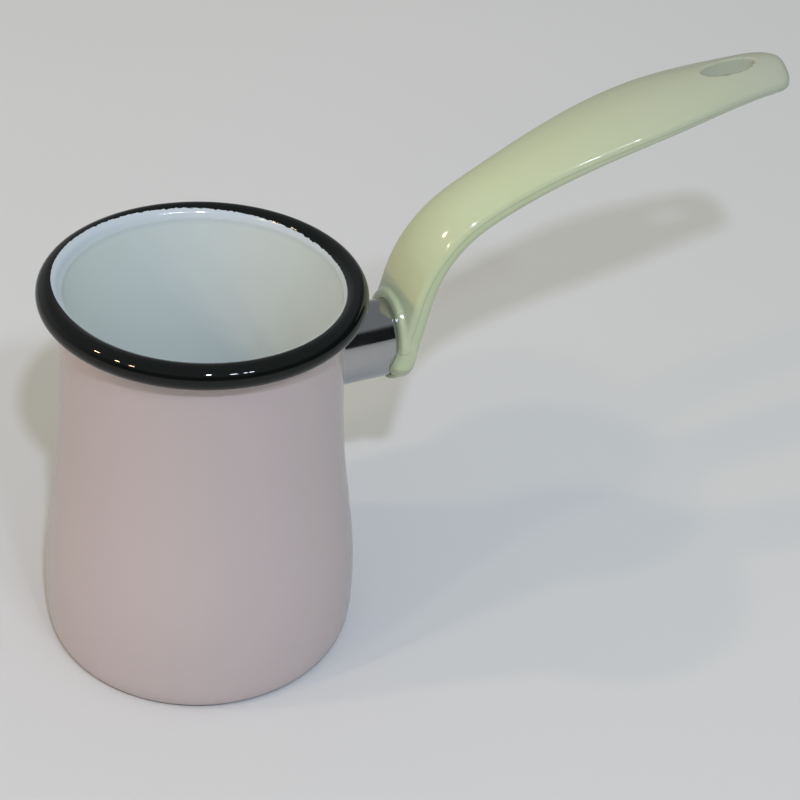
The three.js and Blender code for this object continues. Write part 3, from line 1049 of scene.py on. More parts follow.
@dataclass
class PotBody:
    """The drawn steel body with its coats and the rolled rim."""

    height: float = 105.0
    rim_radius: float = 40.0
    roll_radius: float = 3.1
    belly_radius: float = 41.2
    belly_height: float = 11.0
    base_radius: float = 38.0
    corner_pulls: Pair = (0.84, 0.32)
    neck_length: float = 10.0
    shoulder_pull: float = 26.0
    neck_pull: float = 46.0
    steel: float = 0.6
    coat: float = 0.3
    sheet_end_angle: float = -110.0
    rim_foot_angle: float = -126.0
    bare_edge: float = 0.43
    edge_round: float = 0.7
    edge_share: float = 0.9
    coat_top: float = 0.8
    foot_band: float = 2.0
    foot_lift: float = 0.1
    foot_noise: tuple[RingNoise, ...] = (RingNoise(3.0, 5.0, 0.16), RingNoise(14.0, 9.0, 0.07))
    lining_sink: float = 0.06
    lining_edge: float = 84.0
    sink_angles: Pair = (150.0, 178.0)
    path_radius: float = 36.0
    low_steps: int = 40
    side_steps: int = 56
    neck_steps: int = 8
    roll_steps: int = 40
    lining_steps: tuple[int, int] = (24, 48)
    around: int = 192
    rim_around: int = 720
    boss_hole: Pair = (15.8, 20.8)
    boss_drill: Pair = (20.0, 46.0)
    boss_level: float = 76.8
    rim_waves: tuple[Pair, ...] = ((13.5, -5.4), (8.6, 12.2), (2.6, -6.3))
    rim_mean_angle: float = 123.1
    rim_noise: tuple[RingNoise, ...] = (RingNoise(34.0, 2.0, 6.0), RingNoise(95.0, 7.0, 4.5))
    ragged_shares: Pair = (0.16, 0.84)
    ragged_reach: Pair = (-0.1, 0.75)
    ragged_middle: float = 62.0
    rim_lip: tuple[Pair, ...] = ((0.45, 0.012), (0.0, 0.035))
    rim_lip_start: float = 1.5
    rim_under_angles: tuple[float, ...] = (82.0, 20.0, -40.0, -100.0)
    lining_gap: float = 0.008
    sheet_gap: float = 0.01
    roll_centre: Pair = field(init=False)
    neck_radius: float = field(init=False)

    def __post_init__(self) -> None:
        """Derives the roll's centre and the neck."""
        self.roll_centre = (self.rim_radius - self.roll_radius, self.height - self.roll_radius)
        self.neck_radius = self.roll_centre[0] - self.roll_radius + self.wall

    @property
    def wall(self) -> float:
        """Thickness of the sheet with its two coats."""
        return self.steel + 2 * self.coat

    def floor(self, level: float) -> list[Pair]:
        """Points of the flat base at a level, from the axis to half its radius."""
        return [(0.0, level), (self.base_radius / 2, level)]

    def outside(self) -> tuple[np.ndarray, np.ndarray]:
        """The finished outside from the edge of the base to the roll's middle.

        Returns:
            Rows of radius and height, and rows of outward normals.
        """
        corner = self.belly_radius - self.base_radius
        neck_foot = self.roll_centre[1] - self.neck_length
        low, low_normals = bezier(
            [
                (self.base_radius, 0.0),
                (self.base_radius + self.corner_pulls[0] * corner, 0.0),
                (self.belly_radius, self.corner_pulls[1] * self.belly_height),
                (self.belly_radius, self.belly_height),
            ],
            self.low_steps,
        )
        side, side_normals = bezier(
            [
                (self.belly_radius, self.belly_height),
                (self.belly_radius, self.belly_height + self.shoulder_pull),
                (self.neck_radius, neck_foot - self.neck_pull),
                (self.neck_radius, neck_foot),
            ],
            self.side_steps,
        )
        rise = np.linspace(neck_foot, self.roll_centre[1], self.neck_steps + 1)[1:]
        neck = np.column_stack([np.full(len(rise), self.neck_radius), rise])
        neck_normals = np.tile([1.0, 0.0], (len(rise), 1))
        points = np.concatenate([low, side[1:], neck])
        normals = np.concatenate([low_normals, side_normals[1:], neck_normals])
        return points, normals

    def inset(self, depth: float) -> np.ndarray:
        """The outside moved inwards by a depth."""
        points, normals = self.outside()
        return points - normals * depth

    def roll_arc(self, radius: float, start: float, end: float, steps: int) -> np.ndarray:
        """Points on the roll between two angles in degrees from outwards.

        Args:
            radius: Radius of the arc.
            start: Angle of the first point.
            end: Angle of the last point.
            steps: Number of steps.

        Returns:
            Rows of radius and height.
        """
        angles = np.radians(np.linspace(start, end, steps + 1))
        ring = np.column_stack([np.cos(angles), np.sin(angles)]) * radius
        return ring + np.array(self.roll_centre)

    def swept(
        self, sweep: OvalSweep, name: str, rows: np.ndarray, material: Material, closed: bool
    ) -> Object:
        """Sweeps an outline round the pot's axis.

        Args:
            sweep: The sweep that turns outlines.
            name: Name of the piece.
            rows: Rows of radius and height.
            material: The piece's finish.
            closed: False where both ends of the outline are on the axis.

        Returns:
            The piece.
        """
        outline = [(float(r) - self.path_radius, float(z)) for r, z in rows]
        size = (2 * self.path_radius, 2 * self.path_radius)
        return sweep.run(name, outline, size, self.around, material, closed=closed)

    def shell(self, sweep: OvalSweep, material: Material) -> Object:
        """The drawn sheet with its rolled edge.

        Args:
            sweep: The sweep that turns outlines.
            material: Its dark ground coat.

        Returns:
            The piece.
        """
        roll_margin = 0.1
        points, _ = self.outside()
        bare = points[:, 1] <= self.bare_edge
        under_coat = self.inset(self.coat)[~bare]
        low_neck = under_coat[under_coat[:, 1] < self.roll_centre[1] - roll_margin]
        inner = self.inset(self.coat + self.steel)
        outer_roll = self.roll_radius - self.coat
        rows = np.concatenate(
            [
                self.floor(0.0),
                points[bare],
                low_neck,
                self.roll_arc(outer_roll - self.steel, INWARDS, self.sheet_end_angle, self.roll_steps),
                self.roll_arc(outer_roll, self.sheet_end_angle, INWARDS, self.roll_steps),
                inner[::-1][1:],
                self.floor(self.coat + self.steel)[::-1],
            ]
        )
        piece = self.swept(sweep, "drawn_shell", rows, material, False)
        return dressed(piece, material, "body_shell")

    def outside_coat(self, sweep: OvalSweep, material: Material) -> Object:
        """The pale coat on the outside, with a rounded foot and a hole for the handle's boss.

        Args:
            sweep: The sweep that turns outlines.
            material: The pale enamel.

        Returns:
            The piece.
        """
        points, normals = self.outside()
        top = self.roll_centre[1] - self.coat_top * self.roll_radius
        kept = (points[:, 1] > self.bare_edge) & (points[:, 1] < top)
        points, normals = points[kept], normals[kept]
        reach = np.concatenate([[0.0], np.cumsum(np.linalg.norm(np.diff(points, axis=0), axis=1))])
        left = np.clip(1 - reach / self.edge_round, 0.0, 1.0)
        depth = self.coat * (1 - np.sqrt(1 - left**2)) * self.edge_share
        outer = points - normals * depth[:, None]
        inner = (points - normals * self.coat)[::-1]
        piece = self.swept(sweep, "outside_coat", np.concatenate([outer, inner]), material, True)
        piece = cut(piece, oval_bar("boss_drill", self.boss_hole, self.boss_drill, self.boss_level))
        mended(piece)
        self._uneven_foot(piece)
        return dressed(piece, material, "outside_enamel")

    def _uneven_foot(self, piece: Object) -> None:
        """Lets the foot of the coat wander up and down a little, as a dipped edge does.

        Args:
            piece: The coat.
        """
        for vertex in piece.data.vertices:
            height = vertex.co.z / MM
            if height < self.foot_band:
                angle = math.atan2(vertex.co.y, vertex.co.x)
                lift = self.foot_lift + sum(part.at(angle) for part in self.foot_noise)
                vertex.co.z += lift * (1 - height / self.foot_band) ** 2 * MM

    def lining(self, sweep: OvalSweep, material: Material) -> Object:
        """The white coat inside, up over the inner side of the roll and under the rim's coat.

        Args:
            sweep: The sweep that turns outlines.
            material: The white enamel.

        Returns:
            The piece.
        """
        under_steps, over_steps = self.lining_steps
        angles = np.linspace(self.lining_edge, INWARDS, over_steps + 1)
        sunk = self.roll_radius - self.lining_sink * (1 - smooth_step(*self.sink_angles, angles))
        ring = np.column_stack([np.cos(np.radians(angles)), np.sin(np.radians(angles))])
        rows = np.concatenate(
            [
                self.floor(self.coat + self.steel),
                self.inset(self.coat + self.steel)[:-1],
                self.roll_arc(self.roll_radius - self.coat, INWARDS, self.lining_edge, under_steps),
                ring * sunk[:, None] + np.array(self.roll_centre),
                self.inset(self.wall)[::-1][1:],
                self.floor(self.wall)[::-1],
            ]
        )
        piece = self.swept(sweep, "white_lining", rows, material, False)
        return dressed(piece, material, "inside_enamel")

    def rim_edge(self, around: np.ndarray) -> np.ndarray:
        """Where the rim's coat ends on the inner side of the roll.

        Args:
            around: Angles round the pot in radians.

        Returns:
            Angles on the roll in degrees from outwards.
        """
        edge = np.full(len(around), self.rim_mean_angle)
        for turn, (even, odd) in enumerate(self.rim_waves, start=1):
            edge += even * np.cos(turn * around) + odd * np.sin(turn * around)
        least, more = self.ragged_shares
        facing = np.cos(around - math.radians(self.ragged_middle))
        ragged = least + more * smooth_step(*self.ragged_reach, facing)
        for i, angle in enumerate(around):
            edge[i] += ragged[i] * sum(part.at(angle) for part in self.rim_noise)
        return edge

    def rim_coat(self, material: Material) -> Object:
        """The dark coat on the roll, whose inner edge wanders and is ragged at the back.

        Args:
            material: The black enamel.

        Returns:
            The piece.
        """
        around = np.linspace(0.0, FULL_TURN, self.rim_around, endpoint=False)
        edge = self.rim_edge(around)
        lip_start = edge - self.rim_lip_start
        over = self.roll_radius - self.lining_sink + self.lining_gap
        under = self.roll_radius - self.coat + self.sheet_gap
        rows: list[tuple[np.ndarray | float, float]] = []
        for i in range(self.roll_steps + 1):
            angle = self.rim_foot_angle + (lip_start - self.rim_foot_angle) * i / self.roll_steps
            rows.append((angle, self.roll_radius))
        rows += [(edge - back, self.roll_radius - drop) for back, drop in self.rim_lip]
        rows += [(edge, over), (self.lining_edge, over)]
        rows += [(angle, under) for angle in (*self.rim_under_angles, self.rim_foot_angle)]
        rings = []
        for angle, radius in rows:
            out = self.roll_centre[0] + radius * np.cos(np.radians(angle))
            up = self.roll_centre[1] + radius * np.sin(np.radians(angle))
            level = np.broadcast_to(up, around.shape)
            rings.append(np.column_stack([out * np.cos(around), out * np.sin(around), level]))
        piece = skinned("rim_coat", rings, joined=True)
        return dressed(piece, material, "rim_enamel")


@dataclass
class HandleFixing:
    """The ferrule and the screw that hold the handle on the pot's boss."""

    level: float = 76.8
    ferrule_size: Pair = (22.0, 17.0)
    ferrule_ends: Pair = (32.0, 52.0)
    ferrule_gaps: Pair = (36.5, 35.3)
    ferrule_sheet: float = 0.6
    ferrule_facets: int = 144
    ferrule_sharp: float = 40.0
    lip_round: float = 0.22
    lip_points: int = 5
    cutter_spare: float = 4.0
    cutter_path: float = 30.0
    cutter_facets: int = 360
    shank_radius: float = 2.5
    thread_depth: float = 0.42
    thread_pitch: float = 0.8
    thread_root: Pair = (-0.08, 0.36)
    thread_crest: float = 0.06
    thread_runout: Pair = (0.2, 0.7)
    thread_short: float = 1.0
    screw_start: float = 42.0
    screw_bevel: float = 0.5
    screw_path: float = 4.0
    screw_facets: int = 72
    screw_sharp: float = 35.0
    thread_end: float = 51.0
    head_ends: Pair = (55.8, 58.0)
    head_radius: float = 4.3
    head_bevel: float = 0.15
    head_side: float = 0.9
    head_dome: float = 1.7
    dome_span: tuple[float, float, int] = (0.15, 1.0, 10)
    slot_width: float = 1.2
    slot_depth: float = 1.1
    slot_spare: float = 1.0
    washer_ends: Pair = (54.5, 55.5)
    washer_radii: Pair = (2.8, 4.4)
    washer_bevel: float = 0.12
    washer_gap: float = 18.0
    washer_lift: float = 0.14

    def ferrule(self, sweep: OvalSweep, material: Material) -> Object:
        """The polished oval sleeve, cut to follow the pot's wall, with rounded lips.

        Args:
            sweep: The sweep that turns outlines.
            material: The polished steel.

        Returns:
            The piece.
        """
        bend = self.lip_round
        across = self.ferrule_sheet / 2 - bend
        start, end = self.ferrule_ends
        near, far = start + bend, end - bend
        corners = ((across, far), (-across, far), (-across, near), (across, near))
        outline: list[Pair] = []
        for turn, (out, along) in enumerate(corners):
            for step in np.linspace(0.0, QUARTER_TURN, self.lip_points):
                angle = step + turn * QUARTER_TURN
                outline.append((out + bend * math.cos(angle), along + bend * math.sin(angle)))
        size = (self.ferrule_size[0] - self.ferrule_sheet, self.ferrule_size[1] - self.ferrule_sheet)
        sleeve = sweep.run(
            "ferrule_sleeve", outline, size, self.ferrule_facets, material, Axis.ALONG_HANDLE, self.level
        )
        piece = cut(sleeve, self._wall_cutter(sweep, material))
        mended(piece)
        sharp_edges(piece, self.ferrule_sharp)
        return dressed(piece, material, "ferrule")

    def _wall_cutter(self, sweep: OvalSweep, material: Material) -> Object:
        """A cone round the pot's axis that stands off the wall, closer at the ferrule's top than its foot.

        Args:
            sweep: The sweep that turns outlines.
            material: Any material, which the cut leaves unused.

        Returns:
            The cutting solid.
        """
        reach = self.ferrule_size[0] / 2
        low, high = self.ferrule_gaps
        slope = (high - low) / (2 * reach)
        middle = (low + high) / 2
        rise = reach + self.cutter_spare
        path = self.cutter_path
        outline = [
            (-path, self.level - rise),
            (middle - slope * rise - path, self.level - rise),
            (middle + slope * rise - path, self.level + rise),
            (-path, self.level + rise),
        ]
        size = (2 * path, 2 * path)
        return sweep.run("wall_cutter", outline, size, self.cutter_facets, material, closed=False)

    def screw(self, sweep: OvalSweep, coil: CoilSweep, material: Material) -> Object:
        """The slotted pan-head screw with its thread.

        Args:
            sweep: The sweep that turns outlines.
            coil: The sweep that winds outlines.
            material: The zinc plate.

        Returns:
            The piece.
        """
        root = self.shank_radius - self.thread_depth
        start = self.screw_start
        bevel = self.screw_bevel
        under, top = self.head_ends
        shoulder = under + self.head_side
        profile = [
            (0.0, start),
            (root - bevel, start),
            (root, start + bevel),
            (root, self.thread_end + self.thread_runout[0]),
            (self.shank_radius, self.thread_end + self.thread_runout[1]),
            (self.shank_radius, under),
            (self.head_radius - self.head_bevel, under),
            (self.head_radius, under + self.head_bevel),
            (self.head_radius, shoulder),
        ]
        for share in np.linspace(*self.dome_span):
            angle = share * QUARTER_TURN
            across = self.head_radius - self.head_dome * (1 - math.cos(angle))
            profile.append((across, shoulder + (top - under - self.head_side) * math.sin(angle)))
        profile.append((0.0, top))
        path = self.screw_path
        outline = [(r - path, x) for r, x in profile]
        size = (2 * path, 2 * path)
        blank = sweep.run(
            "slotted_screw",
            outline,
            size,
            self.screw_facets,
            material,
            Axis.ALONG_HANDLE,
            self.level,
            closed=False,
        )
        piece = cut(blank, self._slot_block())
        turns = (self.thread_end - start - self.thread_short) / self.thread_pitch
        foot, spread = self.thread_root
        crest = self.thread_crest
        ridge = [(foot, -spread), (self.thread_depth, -crest), (self.thread_depth, crest), (foot, spread)]
        place = (start + bevel, 0.0, self.level)
        thread = coil.run("screw_thread", ridge, root, turns * self.thread_pitch, turns, place, material)
        work = bmesh.new()
        work.from_mesh(piece.data)
        work.from_mesh(thread.data)
        work.to_mesh(piece.data)
        work.free()
        bpy.data.objects.remove(thread)
        sharp_edges(piece, self.screw_sharp)
        return dressed(piece, material, "handle_screw")

    def _slot_block(self) -> Object:
        """A straight block that cuts the screw's slot.

        Returns:
            The cutting solid.
        """
        top = self.head_ends[1]
        half = self.slot_width / 2
        reach = self.head_radius + self.slot_spare
        corners = [(-reach, -half), (reach, -half), (reach, half), (-reach, half)]
        rings = []
        for x in (top - self.slot_depth, top + self.slot_spare):
            rings.append(np.array([(x, y, self.level + z) for y, z in corners]))
        return skinned("screw_slot", rings)

    def washer(self, coil: CoilSweep, material: Material) -> Object:
        """The split spring washer, whose ends stand a little apart.

        Args:
            coil: The sweep that winds outlines.
            material: The zinc plate.

        Returns:
            The piece.
        """
        inner, outer = self.washer_radii
        start, end = self.washer_ends
        wide = (outer - inner) / 2
        high = (end - start) / 2
        less_wide = wide - self.washer_bevel
        less_high = high - self.washer_bevel
        outline = [
            (wide, less_high),
            (less_wide, high),
            (-less_wide, high),
            (-wide, less_high),
            (-wide, -less_high),
            (-less_wide, -high),
            (less_wide, -high),
            (wide, -less_high),
        ]
        piece = coil.run(
            "split_washer",
            outline,
            (inner + outer) / 2,
            self.washer_lift,
            1.0 - self.washer_gap / 360.0,
            ((start + end - self.washer_lift) / 2, 0.0, self.level),
            material,
        )
        sharp_edges(piece, self.screw_sharp)
        return dressed(piece, material, "spring_washer")


@dataclass
class Handle:
    """The moulded handle: collar, riser, bend, grip and hanging hole."""

    level: float = 76.8
    collar_face: float = 50.5
    collar_size: Pair = (20.6, 25.6)
    collar_rise: float = 0.7
    collar_length: float = 5.0
    collar_bevel: float = 1.0
    pocket_size: Pair = (17.12, 22.12)
    pocket_spare: float = 8.0
    pocket_floor: float = 52.3
    head_seat: float = 54.2
    screw_hole: float = 2.8
    screw_hole_spare: float = 1.0
    counterbore: float = 4.7
    counterbore_reach: float = 20.0
    crown_start: Pair = (46.9, 68.98)
    riser_angle: float = 77.2
    riser_length: float = 23.6
    bend_radius: float = 36.7
    grip_angle: float = 28.7
    tip_angle: float = 2.4
    grip_length: float = 97.6
    palm_share: float = 0.56
    widths: tuple[float, float, float, float] = (20.5, 19.3, 26.5, 19.6)
    domes: Triple = (2.0, 2.7, 3.8)
    sides: Triple = (1.1, 1.2, 0.8)
    bellies: Triple = (5.5, 4.4, 0.7)
    edge_round: float = 2.0
    root_round: float = 5.0
    root_corner: float = 2.0
    tip_round: float = 8.5
    tip_corner: float = 2.8
    top_points: int = 20
    edge_points: int = 10
    under_points: int = 26
    end_span: tuple[float, float, int] = (0.02, 0.9, 26)
    middle_sections: int = 130
    hole_size: Pair = (16.3, 7.0)
    hole_from_tip: float = 17.0
    hole_facets: int = 96
    drill_reach: float = 18.0
    dish_size: Triple = (28.0, 15.0, 6.0)
    dish_wall: float = 5.0
    dish_span: tuple[float, float, int] = (-0.98, 0.98, 49)
    parting_level: float = 77.2
    parting_places: int = 500
    parting_batch: int = 8000
    voxel: float = 0.36
    soften_factor: float = 0.5
    soften_rounds: int = 3
    sharp: float = 50.0

    @property
    def bend_length(self) -> float:
        """Length of the crown's arc."""
        return self.bend_radius * math.radians(self.riser_angle - self.grip_angle)

    @property
    def grip_start(self) -> float:
        """Where the grip starts along the crown."""
        return self.riser_length + self.bend_length

    @property
    def crown_length(self) -> float:
        """Length of the whole crown line."""
        return self.grip_start + self.grip_length

    @staticmethod
    def _stretch(start: Pair, angles: Pair, length: float, distance: float) -> Triple:
        """A place on a straight or an arc of the crown.

        Args:
            start: Where the stretch starts, in x and z.
            angles: Its heading at the start and at the end, in degrees.
            length: Its length.
            distance: How far along it the place is.

        Returns:
            The place in x and z, and the heading there in radians.
        """
        turn = math.radians(angles[1] - angles[0])
        first = math.radians(angles[0])
        heading = first + turn * distance / length
        chord = distance if turn == 0 else 2 * math.sin(turn * distance / length / 2) * length / turn
        middle = (first + heading) / 2
        return start[0] + chord * math.cos(middle), start[1] + chord * math.sin(middle), heading

    def crown(self, distance: float) -> Triple:
        """A place on the crown line.

        Args:
            distance: Distance from the handle's lower end.

        Returns:
            The place in x and z, and the heading there in radians.
        """
        riser = (self.riser_angle, self.riser_angle)
        if distance <= self.riser_length:
            return self._stretch(self.crown_start, riser, self.riser_length, distance)
        bend_start = self._stretch(self.crown_start, riser, self.riser_length, self.riser_length)[:2]
        bend = (self.riser_angle, self.grip_angle)
        if distance <= self.grip_start:
            return self._stretch(bend_start, bend, self.bend_length, distance - self.riser_length)
        grip_start = self._stretch(bend_start, bend, self.bend_length, self.bend_length)[:2]
        grip = (self.grip_angle, self.tip_angle)
        return self._stretch(grip_start, grip, self.grip_length, distance - self.grip_start)

    @staticmethod
    def _eased(stations: Sequence[Pair], distance: float) -> float:
        """A size that eases from one station's value to the next.

        Args:
            stations: Places along the crown with their values.
            distance: The place to read.

        Returns:
            The value there.
        """
        if distance <= stations[0][0]:
            return stations[0][1]
        for (start, low), (end, high) in zip(stations, stations[1:]):
            if distance <= end:
                return low + (high - low) * float(smooth_step(start, end, np.array(distance)))
        return stations[-1][1]

    def _size(self, values: Sequence[float], distance: float) -> float:
        """A size of the section, from its values at the root, the bend, the palm and the tip.

        Args:
            values: The values in order, where three leave out the palm.
            distance: The place to read.

        Returns:
            The value there.
        """
        palm = self.grip_start + self.palm_share * self.grip_length
        places = [0.0, self.grip_start, palm, self.crown_length]
        if len(values) < len(places):
            places.remove(palm)
        return self._eased(list(zip(places, values)), distance)

    def _end_scale(self, distance: float) -> float:
        """Share of the full width that is left near the two rounded ends.

        Args:
            distance: Its place along the crown.

        Returns:
            The share.
        """
        ends = (
            (distance, self.root_round, self.root_corner),
            (self.crown_length - distance, self.tip_round, self.tip_corner),
        )
        share = 1.0
        for left, length, corner in ends:
            if left < length:
                share *= max(0.0, 1 - (1 - left / length) ** corner) ** (1 / corner)
        return share

    def edge_foot(self, distance: float) -> float:
        """Height above the crown, below zero, where the rounded edge ends and the upright side starts.

        Args:
            distance: Its place along the crown.

        Returns:
            The height.
        """
        dome = self._size(self.domes, distance)
        slope = 4 * dome / self._size(self.widths, distance)
        return self.edge_round * (slope - math.hypot(1.0, slope)) - dome

    def half_section(self, distance: float) -> np.ndarray:
        """Half a section with full ends, from the middle of its domed top to the middle of its underside.

        Args:
            distance: Its place along the crown.

        Returns:
            Rows of the distance across and the height above the crown.
        """
        half_width = self._size(self.widths, distance) / 2
        dome = self._size(self.domes, distance)
        foot = self.edge_foot(distance)
        first_angle = math.atan(2 * dome / half_width)
        edge_start = half_width - self.edge_round * (1 - math.sin(first_angle))
        across = np.linspace(0.0, edge_start, self.top_points, endpoint=False)
        top = np.column_stack([across, -dome * (across / half_width) ** 2])
        turn = np.linspace(first_angle, QUARTER_TURN, self.edge_points)
        out = half_width - self.edge_round * (1 - np.sin(turn))
        edge = np.column_stack([out, foot + self.edge_round * np.cos(turn)])
        quarter = np.linspace(0.0, QUARTER_TURN, self.under_points)
        side_foot = foot - self._size(self.sides, distance)
        depth = self._size(self.bellies, distance) * np.sin(quarter)
        under = np.column_stack([half_width * np.cos(quarter), side_foot - depth])
        return np.concatenate([top, edge, under])

    @staticmethod
    def _ring(place: Triple, along: Reach, across: np.ndarray, above: Reach) -> np.ndarray:
        """Points given from a place on the crown.

        Args:
            place: The place in x and z, and the heading there.
            along: Distance along the heading, one or one for each point.
            across: Distance of each point along Y.
            above: Distance above the crown, one or one for each point.

        Returns:
            Rows of x, y and z.
        """
        x, z, heading = place
        px = x + along * math.cos(heading) - above * math.sin(heading)
        pz = z + along * math.sin(heading) + above * math.cos(heading)
        return np.column_stack([px, across, pz])

    def section(self, distance: float) -> np.ndarray:
        """One closed outline of the handle.

        Args:
            distance: Its place along the crown.

        Returns:
            Rows of x, y and z.
        """
        scale = self._end_scale(distance)
        half = self.half_section(distance)
        middle = half[-1, 1] / 2
        other = half[1:-1][::-1] * (-1.0, 1.0)
        outline = np.concatenate([half, other])
        above = middle + (outline[:, 1] - middle) * math.sqrt(scale)
        return self._ring(self.crown(distance), 0.0, outline[:, 0] * scale, above)

    def blank(self) -> Object:
        """The handle's outer form, skinned over its sections.

        Returns:
            The closed solid.
        """
        turns = np.linspace(*self.end_span) * QUARTER_TURN
        root = self.root_round * (1 - np.cos(turns))
        tip = self.crown_length - self.tip_round * (1 - np.sin(turns))
        middle = np.linspace(self.root_round, self.crown_length - self.tip_round, self.middle_sections)
        distances = np.concatenate([root, middle[1:-1], tip])
        return skinned("handle_blank", [self.section(float(d)) for d in distances])

    def hole_drill(self) -> Object:
        """The drill of the hanging hole, square to the crown.

        Returns:
            The cutting solid.
        """
        place = self.crown(self.crown_length - self.hole_from_tip)
        angles = np.linspace(0.0, FULL_TURN, self.hole_facets, endpoint=False)
        along = self.hole_size[0] / 2 * np.cos(angles)
        across = self.hole_size[1] / 2 * np.sin(angles)
        reaches = (-self.drill_reach, self.drill_reach)
        return skinned("hole_drill", [self._ring(place, along, across, reach) for reach in reaches])

    def hole_dish(self) -> Object:
        """An egg-shaped tool that hollows the tip's underside round the hanging hole.

        Returns:
            The cutting solid.
        """
        place = self.crown(self.crown_length - self.hole_from_tip)
        length, width, height = (size / 2 for size in self.dish_size)
        angles = np.linspace(0.0, FULL_TURN, self.hole_facets, endpoint=False)
        rings = []
        for turn in np.linspace(*self.dish_span) * QUARTER_TURN:
            across = width * math.cos(turn) * np.cos(angles)
            above = height * math.cos(turn) * np.sin(angles) - self.dish_wall - height
            rings.append(self._ring(place, length * math.sin(turn), across, above))
        return skinned("hole_dish", rings)

    def outer_form(self) -> Object:
        """The moulding's outside with crisp edges: blank, collar, hanging hole and its dish.

        Returns:
            The closed solid.
        """
        collar_ends = (self.collar_face, self.collar_face + self.collar_length)
        collar_level = self.level + self.collar_rise
        collar = oval_bar("collar", self.collar_size, collar_ends, collar_level, self.collar_bevel)
        joined = cut(self.blank(), collar, joins=True)
        return cut(cut(joined, self.hole_dish()), self.hole_drill())

    def hollowed(self, moulding: Object) -> Object:
        """Cuts the ferrule's pocket and the screw's stepped way.

        Args:
            moulding: The outer form, which is removed.

        Returns:
            The cut moulding.
        """
        seat = self.head_seat
        way = (2 * self.screw_hole, 2 * self.screw_hole)
        bore = (2 * self.counterbore, 2 * self.counterbore)
        tools = (
            ("pocket", self.pocket_size, (self.collar_face - self.pocket_spare, self.pocket_floor)),
            ("screw_way", way, (self.collar_face, seat + self.screw_hole_spare)),
            ("counterbore", bore, (seat, seat + self.counterbore_reach)),
        )
        for name, size, ends in tools:
            moulding = cut(moulding, oval_bar(name, size, ends, self.level))
        return moulding

    def piece(self, finish: Moulding, material: Material) -> Object:
        """The finished handle with softened outer edges.

        Args:
            finish: The plastic, which names the attribute that its parting line reads.
            material: The plastic's material.

        Returns:
            The piece.
        """
        rough = self.outer_form()
        remesh = rough.modifiers.new("even_mesh", "REMESH")
        remesh.mode = "VOXEL"
        remesh.voxel_size = self.voxel * MM
        soften = rough.modifiers.new("soft_edges", "SMOOTH")
        soften.factor = self.soften_factor
        soften.iterations = self.soften_rounds
        soft = applied(rough, "moulded_handle")
        faced_outwards(soft)
        moulded = self.hollowed(soft)
        mended(moulded)
        sharp_edges(moulded, self.sharp)
        self._mark_parting(moulded, finish.attribute)
        return dressed(moulded, material, "handle")

    def _mark_parting(self, piece: Object, attribute: str) -> None:
        """Stores each point's distance from the mould's parting face, in millimetres.

        The face follows the foot of the rounded edge, and on the collar the widest place of its sides.

        Args:
            piece: The handle.
            attribute: Name of the attribute.
        """
        places = np.linspace(0.0, self.crown_length, self.parting_places)
        line = np.array([self.crown(float(d)) for d in places])
        depth = np.array([-self.edge_foot(float(d)) for d in places])
        count = len(piece.data.vertices)
        points = np.empty(count * 3, np.float32)
        piece.data.vertices.foreach_get("co", points)
        points = points.reshape(-1, 3).astype(float) / MM
        value = np.empty(count, np.float32)
        for start in range(0, count, self.parting_batch):
            batch = slice(start, start + self.parting_batch)
            part = points[batch]
            gap_x = part[:, 0:1] - line[None, :, 0]
            gap_z = part[:, 2:3] - line[None, :, 1]
            near = np.argmin(gap_x**2 + gap_z**2, axis=1)
            rows = np.arange(len(part))
            heading = line[near, 2]
            above = -gap_x[rows, near] * np.sin(heading) + gap_z[rows, near] * np.cos(heading)
            on_collar = part[:, 0] < self.collar_face + self.collar_length / 2
            value[batch] = np.where(on_collar, part[:, 2] - self.parting_level, above + depth[near])
        store = piece.data.attributes.new(attribute, "FLOAT", "POINT")
        store.data.foreach_set("value", value)


@dataclass(frozen=True)
class Lamp:
    """A round lamp, given by where it is seen from the pot, whose light can stay even over its distance."""

    name: str
    azimuth: float
    elevation: float
    width: float
    level: float
    colour: Colour
    distance: float = 2.4
    even: bool = False
    aim: Triple = (0.04, 0.0, 0.06)

    def place(self) -> None:
        """Adds the lamp to the scene, aimed at the pot's middle."""
        data = bpy.data.lights.new(self.name, "AREA")
        data.shape = "DISK"
        data.size = 2 * self.distance * math.tan(math.radians(self.width / 2))
        data.color = self.colour
        data.energy = self.level * math.pi**2 * (1.0 if self.even else self.distance**2)
        if self.even:
            self._even_out(data)
        turn, rise = math.radians(self.azimuth), math.radians(self.elevation)
        towards = Vector((math.cos(rise) * math.cos(turn), math.cos(rise) * math.sin(turn), math.sin(rise)))
        made = linked(self.name, data)
        made.location = Vector(self.aim) + towards * self.distance
        made.rotation_euler = towards.to_track_quat("Z", "Y").to_euler()

    @staticmethod
    def _even_out(data: bpy.types.Light) -> None:
        """Takes the lamp's fall-off away, so that it lights near and far floor alike.

        Args:
            data: The lamp.
        """
        data.use_nodes = True
        data.node_tree.nodes.clear()
        sheet = NodeSheet(data.node_tree)
        strength = sheet.node("ShaderNodeLightFalloff", {"Strength": 1.0})
        glow = sheet.node("ShaderNodeEmission", {"Strength": strength.outputs["Constant"]})
        sheet.node("ShaderNodeOutputLight", {"Surface": glow.outputs[0]})


